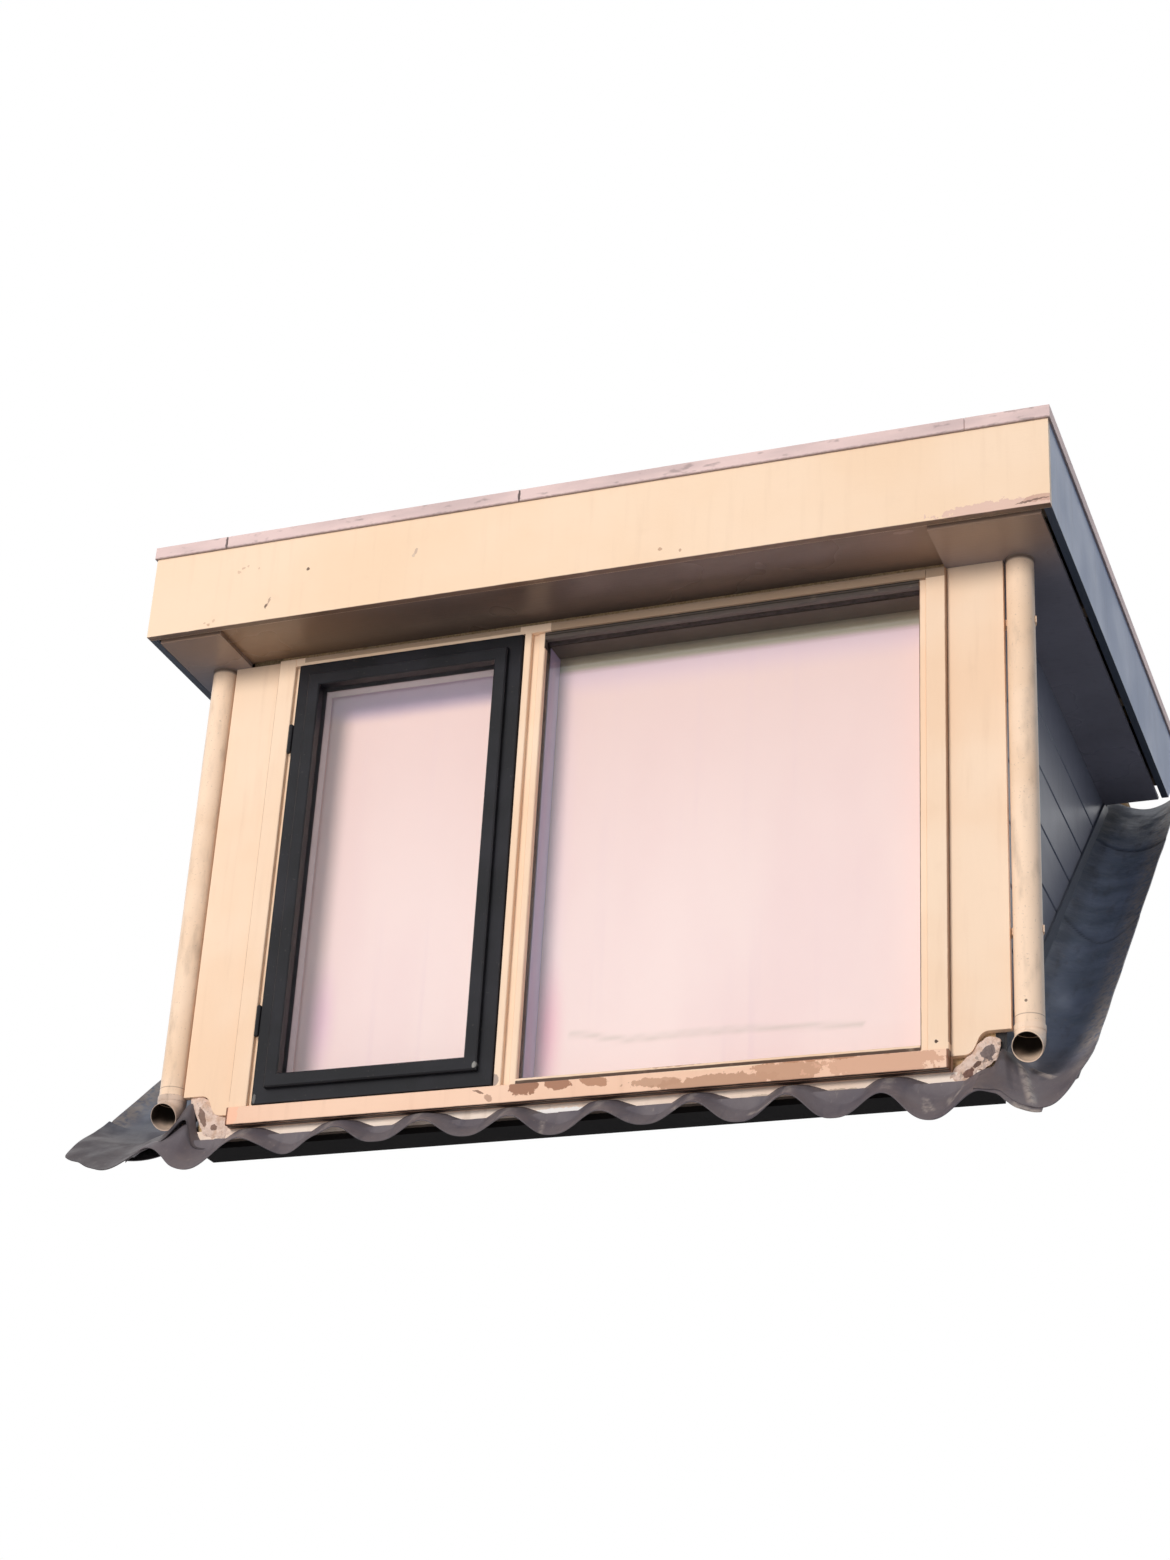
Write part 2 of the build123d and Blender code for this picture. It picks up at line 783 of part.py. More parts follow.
sash_x = (sash_rebate_left + sash_play, mullion_left - sash_play)
sash_z = (frame_base + sash_play, head_under - sash_play)
sash_front = frame_front - sash_proud
sash_back = sash_front + sash_thickness
sash_bead_face = sash_front - sash_bead_proud
sash_pane_front = sash_bead_face + sash_bead_depth + seat_gap
sash_pane_back = sash_pane_front + sash_glass_thickness
sash_lip_front = sash_pane_back + seat_gap
with BuildPart() as sash_frame:
    with BuildSketch(Plane.XZ.offset(-sash_back)):
        with Locations((sum(sash_x) / 2, sum(sash_z) / 2)):
            Rectangle(sash_x[1] - sash_x[0], sash_z[1] - sash_z[0])
            Rectangle(
                sash_x[1] - sash_x[0] - 2 * (sash_face + sash_bead_width),
                sash_z[1] - sash_z[0] - 2 * (sash_face + sash_bead_width),
                mode=Mode.SUBTRACT,
            )
    extrude(amount=sash_thickness)
    face_edges = sash_frame.faces().sort_by(Axis.Y)[0].edges()
    outer_edges = face_edges.group_by(lambda edge: round(edge.length))[-2:]
    chamfer([edge for group in outer_edges for edge in group], length=sash_arris)
    with BuildSketch(Plane.XZ.offset(-sash_lip_front)):
        with Locations((sum(sash_x) / 2, sum(sash_z) / 2)):
            Rectangle(
                sash_x[1] - sash_x[0] - 2 * sash_face,
                sash_z[1] - sash_z[0] - 2 * sash_face,
            )
    extrude(amount=sash_thickness, mode=Mode.SUBTRACT)
save(sash_frame, "sash_frame")

pocket_x = inset(sash_x, sash_face)
pocket_z = inset(sash_z, sash_face)
sash_glass = block(
    inset(pocket_x, pane_edge),
    (sash_pane_front, sash_pane_back),
    inset(pocket_z, pane_edge),
)
save(sash_glass, "sash_glass")

sash_bead = ring(
    inset(pocket_x, seat_gap),
    inset(pocket_z, seat_gap),
    sash_bead_face,
    sash_bead_depth,
    sash_bead_width,
    sash_bead_bevel,
)
save(sash_bead, "sash_bead")

with BuildPart() as hinges:
    hinge_x = sash_x[0] - seat_gap - hinge_radius
    hinge_y = sash_front + sash_proud / 2
    for level in (hinge_low, hinge_high):
        with BuildSketch(Plane.XY.offset(frame_base + level - hinge_height / 2)):
            with Locations((hinge_x, hinge_y)):
                Circle(hinge_radius)
        extrude(amount=hinge_height)
save(hinges, "hinges")

# Blinds behind both windows, hung from rollers on the back of the frame

blind_front = frame_back + blind_drop_gap
blind_back = blind_front + blind_thickness
roller_y = blind_back + seat_gap + roller_radius
roller_z = head_under
window_spans = (
    ("casement", (sash_lip_left - blind_overlap, sash_lip_right + blind_overlap)),
    ("fixed", (glazed_lip_left - blind_overlap, glazed_lip_right + blind_overlap)),
)
for name, span in window_spans:
    blind = block(span, (blind_front, blind_back), (sill_bottom + blind_tail, roller_z))
    save(blind, f"blind_{name}")

with BuildPart() as blind_rollers:
    for name, span in window_spans:
        with BuildSketch(Plane.YZ.offset(span[0])):
            with Locations((roller_y, roller_z)):
                Circle(roller_radius)
        extrude(amount=span[1] - span[0])
        bracket_depth = roller_y - frame_back - seat_gap
        bracket_middle = frame_back + seat_gap + bracket_depth / 2
        for start in (span[0] - roller_bracket, span[1]):
            with BuildSketch(Plane.YZ.offset(start)):
                with Locations((bracket_middle, roller_z)):
                    Rectangle(bracket_depth, 2 * roller_radius)
                with Locations((roller_y, roller_z)):
                    Circle(roller_radius)
            extrude(amount=roller_bracket)
save(blind_rollers, "blind_rollers")

# Rainwater pipes at the two front corners, each with a short bend at its foot

for name, side in sides:
    pipe_x = side * pipe_offset
    with BuildPart() as downpipe:
        with BuildSketch(Plane.XY.offset(pipe_end)):
            with Locations((pipe_x, pipe_y)):
                Circle(pipe_radius)
                Circle(pipe_radius - pipe_wall, mode=Mode.SUBTRACT)
        extrude(amount=side_soffit_level + pipe_rise - pipe_end)
    save(downpipe, f"downpipe_{name}")

    socket_inner = pipe_radius + seat_gap
    elbow_outer = pipe_radius + pipe_wall
    turn = radians(elbow_angle)
    mitre = turn / elbow_mitres
    corner_radius = elbow_radius / cos(mitre / 2)
    bend_route = [(pipe_x, pipe_y, elbow_top)]
    for step in range(elbow_mitres):
        angle = (step + 1 / 2) * mitre
        corner_y = pipe_y - elbow_radius + corner_radius * cos(angle)
        bend_route.append((pipe_x, corner_y, elbow_top - corner_radius * sin(angle)))
    mouth_y = pipe_y - elbow_radius * (1 - cos(turn)) - elbow_outlet * sin(turn)
    mouth_z = elbow_top - elbow_radius * sin(turn) - elbow_outlet * cos(turn)
    bend_route.append((pipe_x, mouth_y, mouth_z))
    with BuildPart() as elbow:
        with BuildLine():
            Polyline(*bend_route)
        with BuildSketch(Plane.XY.offset(elbow_top)):
            with Locations((pipe_x, pipe_y)):
                Circle(elbow_outer)
                Circle(elbow_outer - elbow_wall, mode=Mode.SUBTRACT)
        sweep(transition=Transition.RIGHT)
        with BuildSketch(Plane.XY.offset(elbow_top)):
            with Locations((pipe_x, pipe_y)):
                Circle(socket_inner + socket_wall)
                Circle(socket_inner, mode=Mode.SUBTRACT)
        extrude(amount=socket_top - elbow_top)
    save(elbow, f"elbow_{name}")

with BuildPart() as pipe_clips:
    for name, side in sides:
        pipe_x = side * pipe_offset
        clip_foot = side * (half_cheek + seat_gap)
        clip_inner = pipe_radius + seat_gap
        clip_outer = clip_inner + clip_wall
        arm_middle = wall_front + 2 * seat_gap + clip_width / 2
        for level in (clip_low, clip_high):
            with BuildSketch(Plane.XY.offset(frame_base + level)):
                with Locations((pipe_x, pipe_y)):
                    Circle(clip_outer)
                with Locations((pipe_x, pipe_y - clip_outer / 2)):
                    Rectangle(2 * clip_outer, clip_outer, mode=Mode.SUBTRACT)
                with Locations(((pipe_x + clip_foot) / 2, arm_middle)):
                    Rectangle(abs(pipe_x - clip_foot), clip_width)
                with Locations((pipe_x, pipe_y)):
                    Circle(clip_inner, mode=Mode.SUBTRACT)
            extrude(amount=clip_width)
save(pipe_clips, "pipe_clips")

# Lead: the apron dressed in rolls along the front, and the channels up both cheeks

apron_start = -half_cheek - lead_width_left
apron_end = half_cheek + lead_width_right
first_crest = -half_cheek - lead_first_roll
crest_count = int((apron_end - first_crest) / lead_roll_pitch) + 1
wave_start = first_crest - 3 * lead_roll_pitch / 4
half_rolls = 2 * crest_count + 2
crest_edge = strip_front - apron_crest_reach
valley_edge = strip_front - apron_valley_reach
corner_edge = strip_front - apron_corner_reach
notch_edge = strip_front - apron_notch_reach
with BuildPart() as lead_apron:
    half_pitch = lead_roll_pitch / 2
    with BuildSketch(section_plane(lead_lift)):
        with BuildLine():
            for level in (0, -lead_thickness):
                for step in range(half_rolls):
                    start = wave_start + step * half_pitch
                    rise = lead_roll_rise if step % 2 else -lead_roll_rise
                    ThreePointArc(
                        (start, level),
                        (start + half_pitch / 2, level + rise),
                        (start + half_pitch, level),
                    )
            for end in (wave_start, wave_start + half_rolls * half_pitch):
                Line((end, 0), (end, -lead_thickness))
        make_face()
    extrude(amount=2 * apron_corner_reach / cos(pitch), both=True)
    with BuildSketch(Plane.XY.offset(-2 * lead_lift)):
        with BuildLine():
            lower_edge = [(apron_start, crest_edge)]
            for step in range(crest_count):
                crest = first_crest + step * lead_roll_pitch
                valley = crest + half_pitch
                if step == 1:
                    lower_edge.append((crest, notch_edge))
                elif step > 1:
                    lower_edge.append((crest, crest_edge))
                at_corner = abs(valley) > half_frame
                lower_edge.append((valley, corner_edge if at_corner else valley_edge))
            lower_edge.append((apron_end, crest_edge))
            Spline(*lower_edge)
            Line(lower_edge[-1], (apron_end, wall_front))
            Line((apron_end, wall_front), (apron_start, wall_front))
            Line((apron_start, wall_front), lower_edge[0])
        make_face()
    extrude(amount=2 * joist_level, mode=Mode.INTERSECT)
    with BuildSketch(Plane.XY.offset(-lead_lift)):
        with Locations((0, strip_front - seat_gap + post_depth / 2)):
            Rectangle(2 * (half_cheek + seat_gap), post_depth)
    extrude(amount=joist_level, mode=Mode.SUBTRACT)
    with BuildSketch(Plane.XY.offset(sill_bottom - seat_gap)):
        with Locations((0, wall_front)):
            Rectangle(2 * (half_frame + seat_gap), 2 * post_depth)
    extrude(amount=joist_level, mode=Mode.SUBTRACT)
save(lead_apron, "lead_apron")

for name, side in sides:
    channel_rise = (cheek_clearance - lead_lift) * cos(pitch) - seat_gap
    channel_start = side * (core_outer + seat_gap)
    channel_fold = side * (core_outer + seat_gap + lead_thickness)
    channel_width = lead_width_left if side < 0 else lead_width_right
    channel_end = side * (half_cheek + channel_width)
    channel_middle = (channel_fold + channel_end) / 2
    channel_length = roof_reach(deck_level, sealed_lift) - wall_front
    with BuildPart() as lead_channel:
        with BuildSketch(section_plane(lead_lift)):
            with BuildLine():
                Line((channel_fold, channel_rise), (channel_fold, 0))
                ThreePointArc((channel_fold, 0), (channel_middle, -lead_channel_dip), (channel_end, 0))
                Line((channel_end, 0), (channel_end, -lead_thickness))
                ThreePointArc(
                    (channel_end, -lead_thickness),
                    (channel_middle, -lead_channel_dip - lead_thickness),
                    (channel_start, -lead_thickness),
                )
                Line((channel_start, -lead_thickness), (channel_start, channel_rise))
                Line((channel_start, channel_rise), (channel_fold, channel_rise))
            make_face()
        extrude(amount=-channel_length / cos(pitch))
        split(bisect_by=Plane.XZ.offset(-wall_front - seat_gap), keep=Keep.BOTTOM)
    save(lead_channel, f"lead_channel_{name}")
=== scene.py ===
import math

import bpy
from mathutils import Matrix, Vector, noise


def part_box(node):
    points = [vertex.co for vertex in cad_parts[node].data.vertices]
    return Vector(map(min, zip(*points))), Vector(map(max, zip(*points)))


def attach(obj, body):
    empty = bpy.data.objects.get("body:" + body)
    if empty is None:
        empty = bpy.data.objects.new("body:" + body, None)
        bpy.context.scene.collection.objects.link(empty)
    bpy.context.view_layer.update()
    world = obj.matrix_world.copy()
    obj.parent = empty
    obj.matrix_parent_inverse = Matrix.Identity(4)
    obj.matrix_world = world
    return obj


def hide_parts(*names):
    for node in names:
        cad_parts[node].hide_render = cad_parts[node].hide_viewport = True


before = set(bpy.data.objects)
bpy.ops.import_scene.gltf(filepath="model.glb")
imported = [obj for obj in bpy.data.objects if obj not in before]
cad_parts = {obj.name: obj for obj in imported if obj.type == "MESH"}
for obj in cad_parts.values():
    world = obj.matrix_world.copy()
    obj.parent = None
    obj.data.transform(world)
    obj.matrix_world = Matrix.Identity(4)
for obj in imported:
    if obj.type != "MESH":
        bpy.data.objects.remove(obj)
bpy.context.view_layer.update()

# Sizes shared with the construction, in millimetres; the mesh is in metres

MM = 0.001
SLOPE = math.tan(math.radians(42))
WALL_FRONT = -45
ROOF_DROP = 75.7
STRIP_FRONT = -57
SILL_FRONT = -86
SASH_LIP = (-47.6, -46.6)
SILL_UNDERSIDE = 40.3
PIPE_X = 1017
PIPE_Y = -50
ELBOW_TOP = 117.3
SOCKET_TOP = 131.3
ROLL_PITCH = 217
FIRST_CREST = -1234
LEAD_LIFT = 113
LEAD_THICKNESS = 2.2


def colour(code):
    """The linear colour of an sRGB hex code."""
    channels = [int(code[start:start + 2], 16) / 255 for start in (0, 2, 4)]
    linear = [c / 12.92 if c <= 0.04045 else ((c + 0.055) / 1.055) ** 2.4 for c in channels]
    return (*linear, 1.0)


def add(tree, kind, inputs=None, to=None, **settings):
    """Adds a node. Settings are its own choices, inputs values, sockets or nodes; to is what it feeds."""
    made = tree.nodes.new(kind)
    for name, value in settings.items():
        setattr(made, name, value)
    for name, value in (inputs or {}).items():
        if isinstance(value, bpy.types.Node):
            value = next(socket for socket in value.outputs if socket.enabled)
        if isinstance(value, bpy.types.NodeSocket):
            tree.links.new(value, made.inputs[name])
        else:
            made.inputs[name].default_value = value
    if to is not None:
        tree.links.new(next(socket for socket in made.outputs if socket.enabled), to)
    return made


# Effects that the finishes are put together from


def begin_finish(name, roughness, **fixed):
    """A new material: its tree, its shader and the place on the object that patterns are laid by."""
    material = bpy.data.materials.new(name)
    material.use_nodes = True
    tree = material.node_tree
    tree.nodes.clear()
    shader = add(tree, "ShaderNodeBsdfPrincipled", {"Roughness": roughness, **fixed})
    add(tree, "ShaderNodeOutputMaterial", {"Surface": shader})
    return material, tree, shader, add(tree, "ShaderNodeTexCoord").outputs["Object"]


EVEN = (1, 1, 1)
ALONG_X = (14, 1, 1)
ALONG_Y = (1, 14, 1)
ALONG_Z = (1, 1, 14)


def blotches(tree, place, size, clear, full, stretch=EVEN, detail=3.0):
    """A share from 0 to 1 in soft blotches about size mm across, drawn out by stretch."""
    scale = tuple(1 / (size * MM * along) for along in stretch)
    laid = add(tree, "ShaderNodeMapping", {"Vector": place, "Scale": scale})
    cloud = add(tree, "ShaderNodeTexNoise", {"Vector": laid, "Scale": 1.0, "Detail": detail})
    limits = {"Value": cloud, "From Min": clear, "From Max": full}
    return add(tree, "ShaderNodeMapRange", limits, interpolation_type="SMOOTHSTEP")


def ragged(tree, place, size, reach):
    """The place shifted up to reach mm by noise size mm across, which gives a mark an uneven edge."""
    cloud = add(tree, "ShaderNodeTexNoise", {"Vector": place, "Scale": 1 / (size * MM), "Detail": 4.0})
    spread = {0: cloud.outputs["Color"], 1: (0.5, 0.5, 0.5)}
    centred = add(tree, "ShaderNodeVectorMath", spread, operation="SUBTRACT")
    shift = {0: centred, 1: (2 * reach * MM,) * 3, 2: place}
    return add(tree, "ShaderNodeVectorMath", shift, operation="MULTIPLY_ADD")


def spot(tree, place, centre, reach, turn=0.0, soft=0.35):
    """A share of 1 in an oval mark, falling to 0 at its reach; turned in the plane of the front."""
    laid = {
        "Vector": place,
        "Location": tuple(MM * c for c in centre),
        "Rotation": (0, math.radians(turn), 0),
        "Scale": tuple(MM * r for r in reach),
    }
    local = add(tree, "ShaderNodeMapping", laid, vector_type="TEXTURE")
    away = add(tree, "ShaderNodeVectorMath", {0: local}, operation="LENGTH")
    limits = {"Value": away, "From Min": 1.0, "From Max": 1.0 - soft}
    return add(tree, "ShaderNodeMapRange", limits, interpolation_type="SMOOTHSTEP")


def mark(tree, place, centre, reach, turn):
    """A spot with a sharp edge."""
    return spot(tree, place, centre, reach, turn, 0.15)


def glow(tree, place, centre, reach, turn=0.0):
    """A spot that fades all the way from its middle."""
    return spot(tree, place, centre, reach, turn, 1.0)


FLAKE_SIZE = 20
FLAKE_WEIGHT = 1.7
FLAKE_EDGE = (1.31, 1.36)


def flaked(tree, place, centre, reach, turn=0.0):
    """Where a coat is off in an oval field: bare at its middle, in sharp flakes towards its edge."""
    field = glow(tree, place, centre, reach, turn)
    grain = {"Scale": 1 / (FLAKE_SIZE * MM), "Detail": 8.0, "Roughness": 0.62}
    chips = add(tree, "ShaderNodeTexNoise", {"Vector": place, **grain})
    both = add(tree, "ShaderNodeMath", {0: chips, 1: FLAKE_WEIGHT, 2: field}, operation="MULTIPLY_ADD")
    limits = dict(zip(("From Min", "From Max"), FLAKE_EDGE))
    return add(tree, "ShaderNodeMapRange", {"Value": both, **limits})


def fade(tree, place, axis, clear, full, kind="SMOOTHSTEP"):
    """A share that goes from 0 at clear mm to 1 at full mm along an axis."""
    apart = add(tree, "ShaderNodeSeparateXYZ", {"Vector": place})
    limits = {"From Min": clear * MM, "From Max": full * MM}
    return add(tree, "ShaderNodeMapRange", {"Value": apart.outputs[axis], **limits}, interpolation_type=kind)


def within(tree, place, low, high, soft=0.8):
    """A share that is 1 inside the box between two corners and falls away over soft mm at its faces."""
    middle = tuple((a + b) / 2 * MM for a, b in zip(low, high))
    away = add(tree, "ShaderNodeVectorMath", {0: place, 1: middle}, operation="SUBTRACT")
    away = add(tree, "ShaderNodeVectorMath", {0: away}, operation="ABSOLUTE")
    share = 1.0
    for axis, start, end in zip("XYZ", low, high):
        reach = (end - start) / 2
        inside = fade(tree, away, axis, reach + soft, reach - soft, "LINEAR")
        share = add(tree, "ShaderNodeMath", {0: share, 1: inside}, operation="MULTIPLY")
    return share


def stain(tree, under, code, share, strength=1.0):
    """The colour under, covered by another as far as share and strength go."""
    held = add(tree, "ShaderNodeMath", {0: share, 1: strength}, operation="MULTIPLY")
    return add(tree, "ShaderNodeMix", {"Factor": held, "A": under, "B": colour(code)}, data_type="RGBA")


def covered(tree, place, base, effect, rows):
    """The base under the rows of one effect: what the effect takes, then the colour and its strength."""
    for *shape, code, strength in rows:
        base = stain(tree, base, code, effect(tree, place, *shape), strength)
    return base


def weathered(tree, place, base, *layers):
    """The base under blotchy layers, each with its colour, its strength and what blotches() takes."""
    for code, strength, *cloud in layers:
        base = stain(tree, base, code, blotches(tree, place, *cloud), strength)
    return base


def coat(tree, shader, base, relief, depth, strength=0.6):
    """Gives a finish its colour and a relief depth mm high that catches a low light."""
    tree.links.new(base.outputs["Result"], shader.inputs["Base Color"])
    heights = {"Height": relief, "Distance": depth * MM, "Strength": strength}
    add(tree, "ShaderNodeBump", heights, to=shader.inputs["Normal"])


def strokes(tree, place, along=ALONG_Z):
    """The low ridges of a brush, 3 mm apart."""
    return blotches(tree, place, 3, 0.2, 0.8, stretch=along, detail=1.0)


# Finishes: every pattern is laid by the place on the object, its sizes in millimetres


def oil_paint(
    part, fresh, worn, grime, marks=(), painted_shade_and_joints=(), grimy=0.3, shine=0.38, along=ALONG_Z,
    peeled=(), painted_light_and_shade=(),
):
    """Satin oil paint brushed on planed wood: even from afar, a little yellowed, streaked by rain; the
    tables add painted light and shade.
    """
    material, tree, shader, place = begin_finish(f"oil_paint_on_{part}", shine)
    yellowed = blotches(tree, place, 350, 0.35, 0.7)
    base = stain(tree, colour(fresh), worn, yellowed)
    streaks, film = (22, 0.52, 0.85, (1, 1, 12)), (60, 0.6, 0.8, EVEN, 5.0)
    base = weathered(tree, place, base, (grime, grimy, *streaks), (grime, 0.5 * grimy, *film))
    # Soft patches of painted light and shade.
    base = covered(tree, place, base, glow, painted_light_and_shade)
    base = covered(tree, place, base, flaked, peeled)
    base = covered(tree, ragged(tree, place, 9, 5), base, mark, marks)
    # Boxes of painted shade under edges, in recesses and between parts, and a few dark joints.
    base = covered(tree, ragged(tree, place, 40, 1), base, within, painted_shade_and_joints)
    gloss = {"Value": yellowed, "To Min": shine - 0.06, "To Max": shine + 0.08}
    add(tree, "ShaderNodeMapRange", gloss, to=shader.inputs["Roughness"])
    coat(tree, shader, base, strokes(tree, place, along), 0.15, 1.0)
    return material


def sash_paint():
    """Black satin paint on the casement; its inner lip behind the glass is primed light grey."""
    material, tree, shader, place = begin_finish("black_satin_paint", 0.42, **{"Specular IOR Level": 0.35})
    dust, specks = ("29282E", 0.6, 120, 0.4, 0.75), ("6B645F", 0.35, 8, 0.66, 0.78, EVEN, 5.0)
    base = weathered(tree, place, colour("18181B"), dust, specks)
    knocked, rubbed = ((-229, -98, 133), (6, 30, 9), 20), ((-783, -84, 100), (5, 20, 14))
    knocks = (*knocked, "9A9893", 0.9), (*rubbed, "8D8A86", 0.5)
    base = covered(tree, ragged(tree, place, 7, 3), base, spot, knocks)
    base = stain(tree, base, "B9B3B6", fade(tree, place, "Y", *SASH_LIP, "LINEAR"))
    coat(tree, shader, base, strokes(tree, place), 0.12, 1.0)
    return material


def pane_glass():
    """Clear float glass: it mirrors faintly and lets the light through to the blind behind it."""
    clear_body = {"Base Color": colour("FFFFFF"), "Transmission Weight": 1.0, "IOR": 1.5}
    material, tree, shader = begin_finish("float_glass", 0.0, **clear_body)[:3]
    path = add(tree, "ShaderNodeLightPath")
    lit = {0: path.outputs["Is Shadow Ray"], 1: path.outputs["Is Diffuse Ray"]}
    through = add(tree, "ShaderNodeMath", lit, operation="MAXIMUM")
    clear = add(tree, "ShaderNodeBsdfTransparent", {"Color": colour("FFFFFF")})
    output = next(node for node in tree.nodes if node.type == "OUTPUT_MATERIAL")
    add(tree, "ShaderNodeMixShader", {0: through, 1: shader, 2: clear}, to=output.inputs["Surface"])
    return material


WEAVE_PITCH = 7.917


def blind_cloth():
    """Close woven white polyester: matt, its fine threads drawn as coarse as 8 mm so that they show."""
    material, tree, shader, place = begin_finish("woven_polyester_blind", 0.85)
    base = weathered(tree, place, colour("FFE5DF"), ("F9DAD7", 0.7, 260, 0.4, 0.7, (1, 1, 3)))
    base = stain(tree, base, "F1CCC4", fade(tree, place, "Z", 350, 1200), 0.75)
    base = weathered(tree, place, base, ("E8C6CF", 0.2, 30, 0.55, 0.8, (1, 1, 30)))
    # A painted pink glow low on the fixed blind's left, and painted lilac shade low on the casement blind's
    # left.
    painted_pink_glow = ((-118, 37, 250), (60, 200, 230), "F59FB2", 0.6)
    painted_lilac_shade = ((-700, 37, 330), (60, 200, 200), "DDA2CC", 0.5)
    base = covered(tree, place, base, glow, (painted_pink_glow, painted_lilac_shade))
    # The first share is painted violet shade along the top and the left edge; the second a tide line and
    # painted olive shade at the top of the fixed blind.
    for share, code, strength in (("wear_and_painted_light", "BFA3DC", 0.8), ("dirt_and_painted_shade", "A69E86", 0.95)):
        painted = add(tree, "ShaderNodeAttribute", attribute_name=share).outputs["Fac"]
        base = stain(tree, base, code, painted, strength)
    threads = {"Vector": place, "Scale": math.pi / 10 / (WEAVE_PITCH * MM)}
    coat(tree, shader, base, add(tree, "ShaderNodeTexWave", threads, bands_direction="Z"), 0.08, 0.5)
    return material


def bare_wood(name, early, late, dust):
    """Wood left without paint: spruce, and the side frames and the sole beam coloured dark as painted shade
    where they show; darker late wood every 5 mm and dust over it.
    """
    material, tree, shader, place = begin_finish(name, 0.8, **{"Specular IOR Level": 0.2})
    grain = blotches(tree, place, 5, 0.35, 0.75, stretch=(1, 40, 1), detail=4.0)
    base = stain(tree, colour(early), late, grain, 0.8)
    base = weathered(tree, place, base, (dust, 0.5, 180, 0.45, 0.8))
    coat(tree, shader, base, grain, 0.3)
    return material


def wall_board():
    """Gypsum board rolled with white emulsion: matt, with the orange peel of the roller 2 mm across."""
    material, tree, shader, place = begin_finish("emulsion_on_gypsum_board", 0.78)
    base = weathered(tree, place, colour("E2DCD0"), ("CFC6B6", 1.0, 300, 0.4, 0.75))
    coat(tree, shader, base, blotches(tree, place, 2, 0.3, 0.7), 0.2, 0.7)
    return material


def roofing_felt():
    """Bitumen felt with slate grit: matt dark grey, laps every metre, pale tide marks where water stood."""
    material, tree, shader, place = begin_finish("mineral_bitumen_felt", 0.9)
    worn, grit = ("3A3B3E", 1.0, 240, 0.4, 0.7), ("8F9094", 0.5, 3, 0.6, 0.7)
    tide = ("6B6A66", 0.6, 300, 0.5, 0.72, EVEN, 6.0)
    base = weathered(tree, place, colour("4B4C50"), worn, tide, grit)
    across = add(tree, "ShaderNodeSeparateXYZ", {"Vector": ragged(tree, place, 90, 3)}).outputs["X"]
    lap = add(tree, "ShaderNodeMath", {0: across, 1: 0.5}, operation="PINGPONG")
    edge = {"Value": lap, "From Min": 9 * MM, "From Max": 4 * MM}
    near = add(tree, "ShaderNodeMapRange", edge, interpolation_type="SMOOTHSTEP")
    base = stain(tree, base, "1F1F21", near, 0.9)
    coat(tree, shader, base, blotches(tree, place, 3, 0.4, 0.6), 0.6, 0.8)
    return material


TRIM_JOINTS = (-936, -147)


def roof_trim():
    """Extruded aluminium edge trim gone chalky: pinkish bloom over dull metal, painted shade along its lower
    lip.
    """
    material, tree, shader, place = begin_finish("chalked_aluminium_trim", 0.5, Metallic=0.25)
    bloom, pits = ("D6BEBB", 1.0, 60, 0.4, 0.7, (4, 4, 1)), ("9C8A88", 0.6, 14, 0.58, 0.72, (3, 3, 1), 5.0)
    base = weathered(tree, place, colour("ECD1CC"), bloom, pits)
    edgy = ragged(tree, place, 8, 3)
    joints = [((x, -266, 1519), (4, 30, 22), "4A4040", 0.8) for x in TRIM_JOINTS]
    base = covered(tree, edgy, base, spot, joints)
    # Painted shade along the lower lip.
    base = stain(tree, base, "6E5A54", fade(tree, edgy, "Z", 1508, 1502), 0.7)
    coat(tree, shader, base, blotches(tree, place, 9, 0.4, 0.7), 0.2)
    return material


RING = 36
PIPE_BORE = 31.3
ENDLESS = 1e6


def pipe_paint(name, fresh, worn, grime, grimy, shaded_bores=()):
    """Oil paint on a drawn PVC pipe: smoother than on wood, splashed with dirt low down, a dark joint line
    at the socket, and painted shade at the top under the soffit and inside.
    """
    material, tree, shader, place = begin_finish(name, 0.34)
    specks, splashes = (5, 0.62, 0.74, EVEN, 4.0), (30, 0.5, 0.8, (1, 1, 3), 5.0)
    base = weathered(tree, place, colour(fresh), (worn, 1.0, 200, 0.4, 0.7))
    base = weathered(tree, place, base, (grime, grimy, *specks), (grime, grimy, *splashes))
    base = stain(tree, base, "6B5A4C", spot(tree, place, (1016, -82, 178), (4, 8, 4)), 0.9)
    # A dark joint line at each socket, and painted shade on the top of each pipe under the soffit.
    joint_line_and_top_shade = [
        ((x - RING, PIPE_Y - RING, low), (x + RING, PIPE_Y + RING, high), *look)
        for x in (-PIPE_X, PIPE_X)
        for low, high, *look in ((149, 150.6, 0.8, "8F7260", 0.8), (1261, 1272, 3, "5E4E46", 0.85))
    ]
    base = covered(tree, place, base, within, joint_line_and_top_shade)
    # Painted shade inside the open pipe ends.
    shaded_bores = [(centre, (PIPE_BORE, PIPE_BORE, ENDLESS), 0, 0.02, "1B1613", 0.97) for centre in shaded_bores]
    base = covered(tree, place, base, spot, shaded_bores)
    # Painted shade inside the bends, from the share that the bends carry.
    inside = add(tree, "ShaderNodeAttribute", attribute_name="dirt_and_painted_shade").outputs["Fac"]
    base = stain(tree, base, "1B1613", inside, 0.97)
    coat(tree, shader, base, blotches(tree, place, 6, 0.4, 0.7, stretch=(1, 1, 6)), 0.1)
    return material


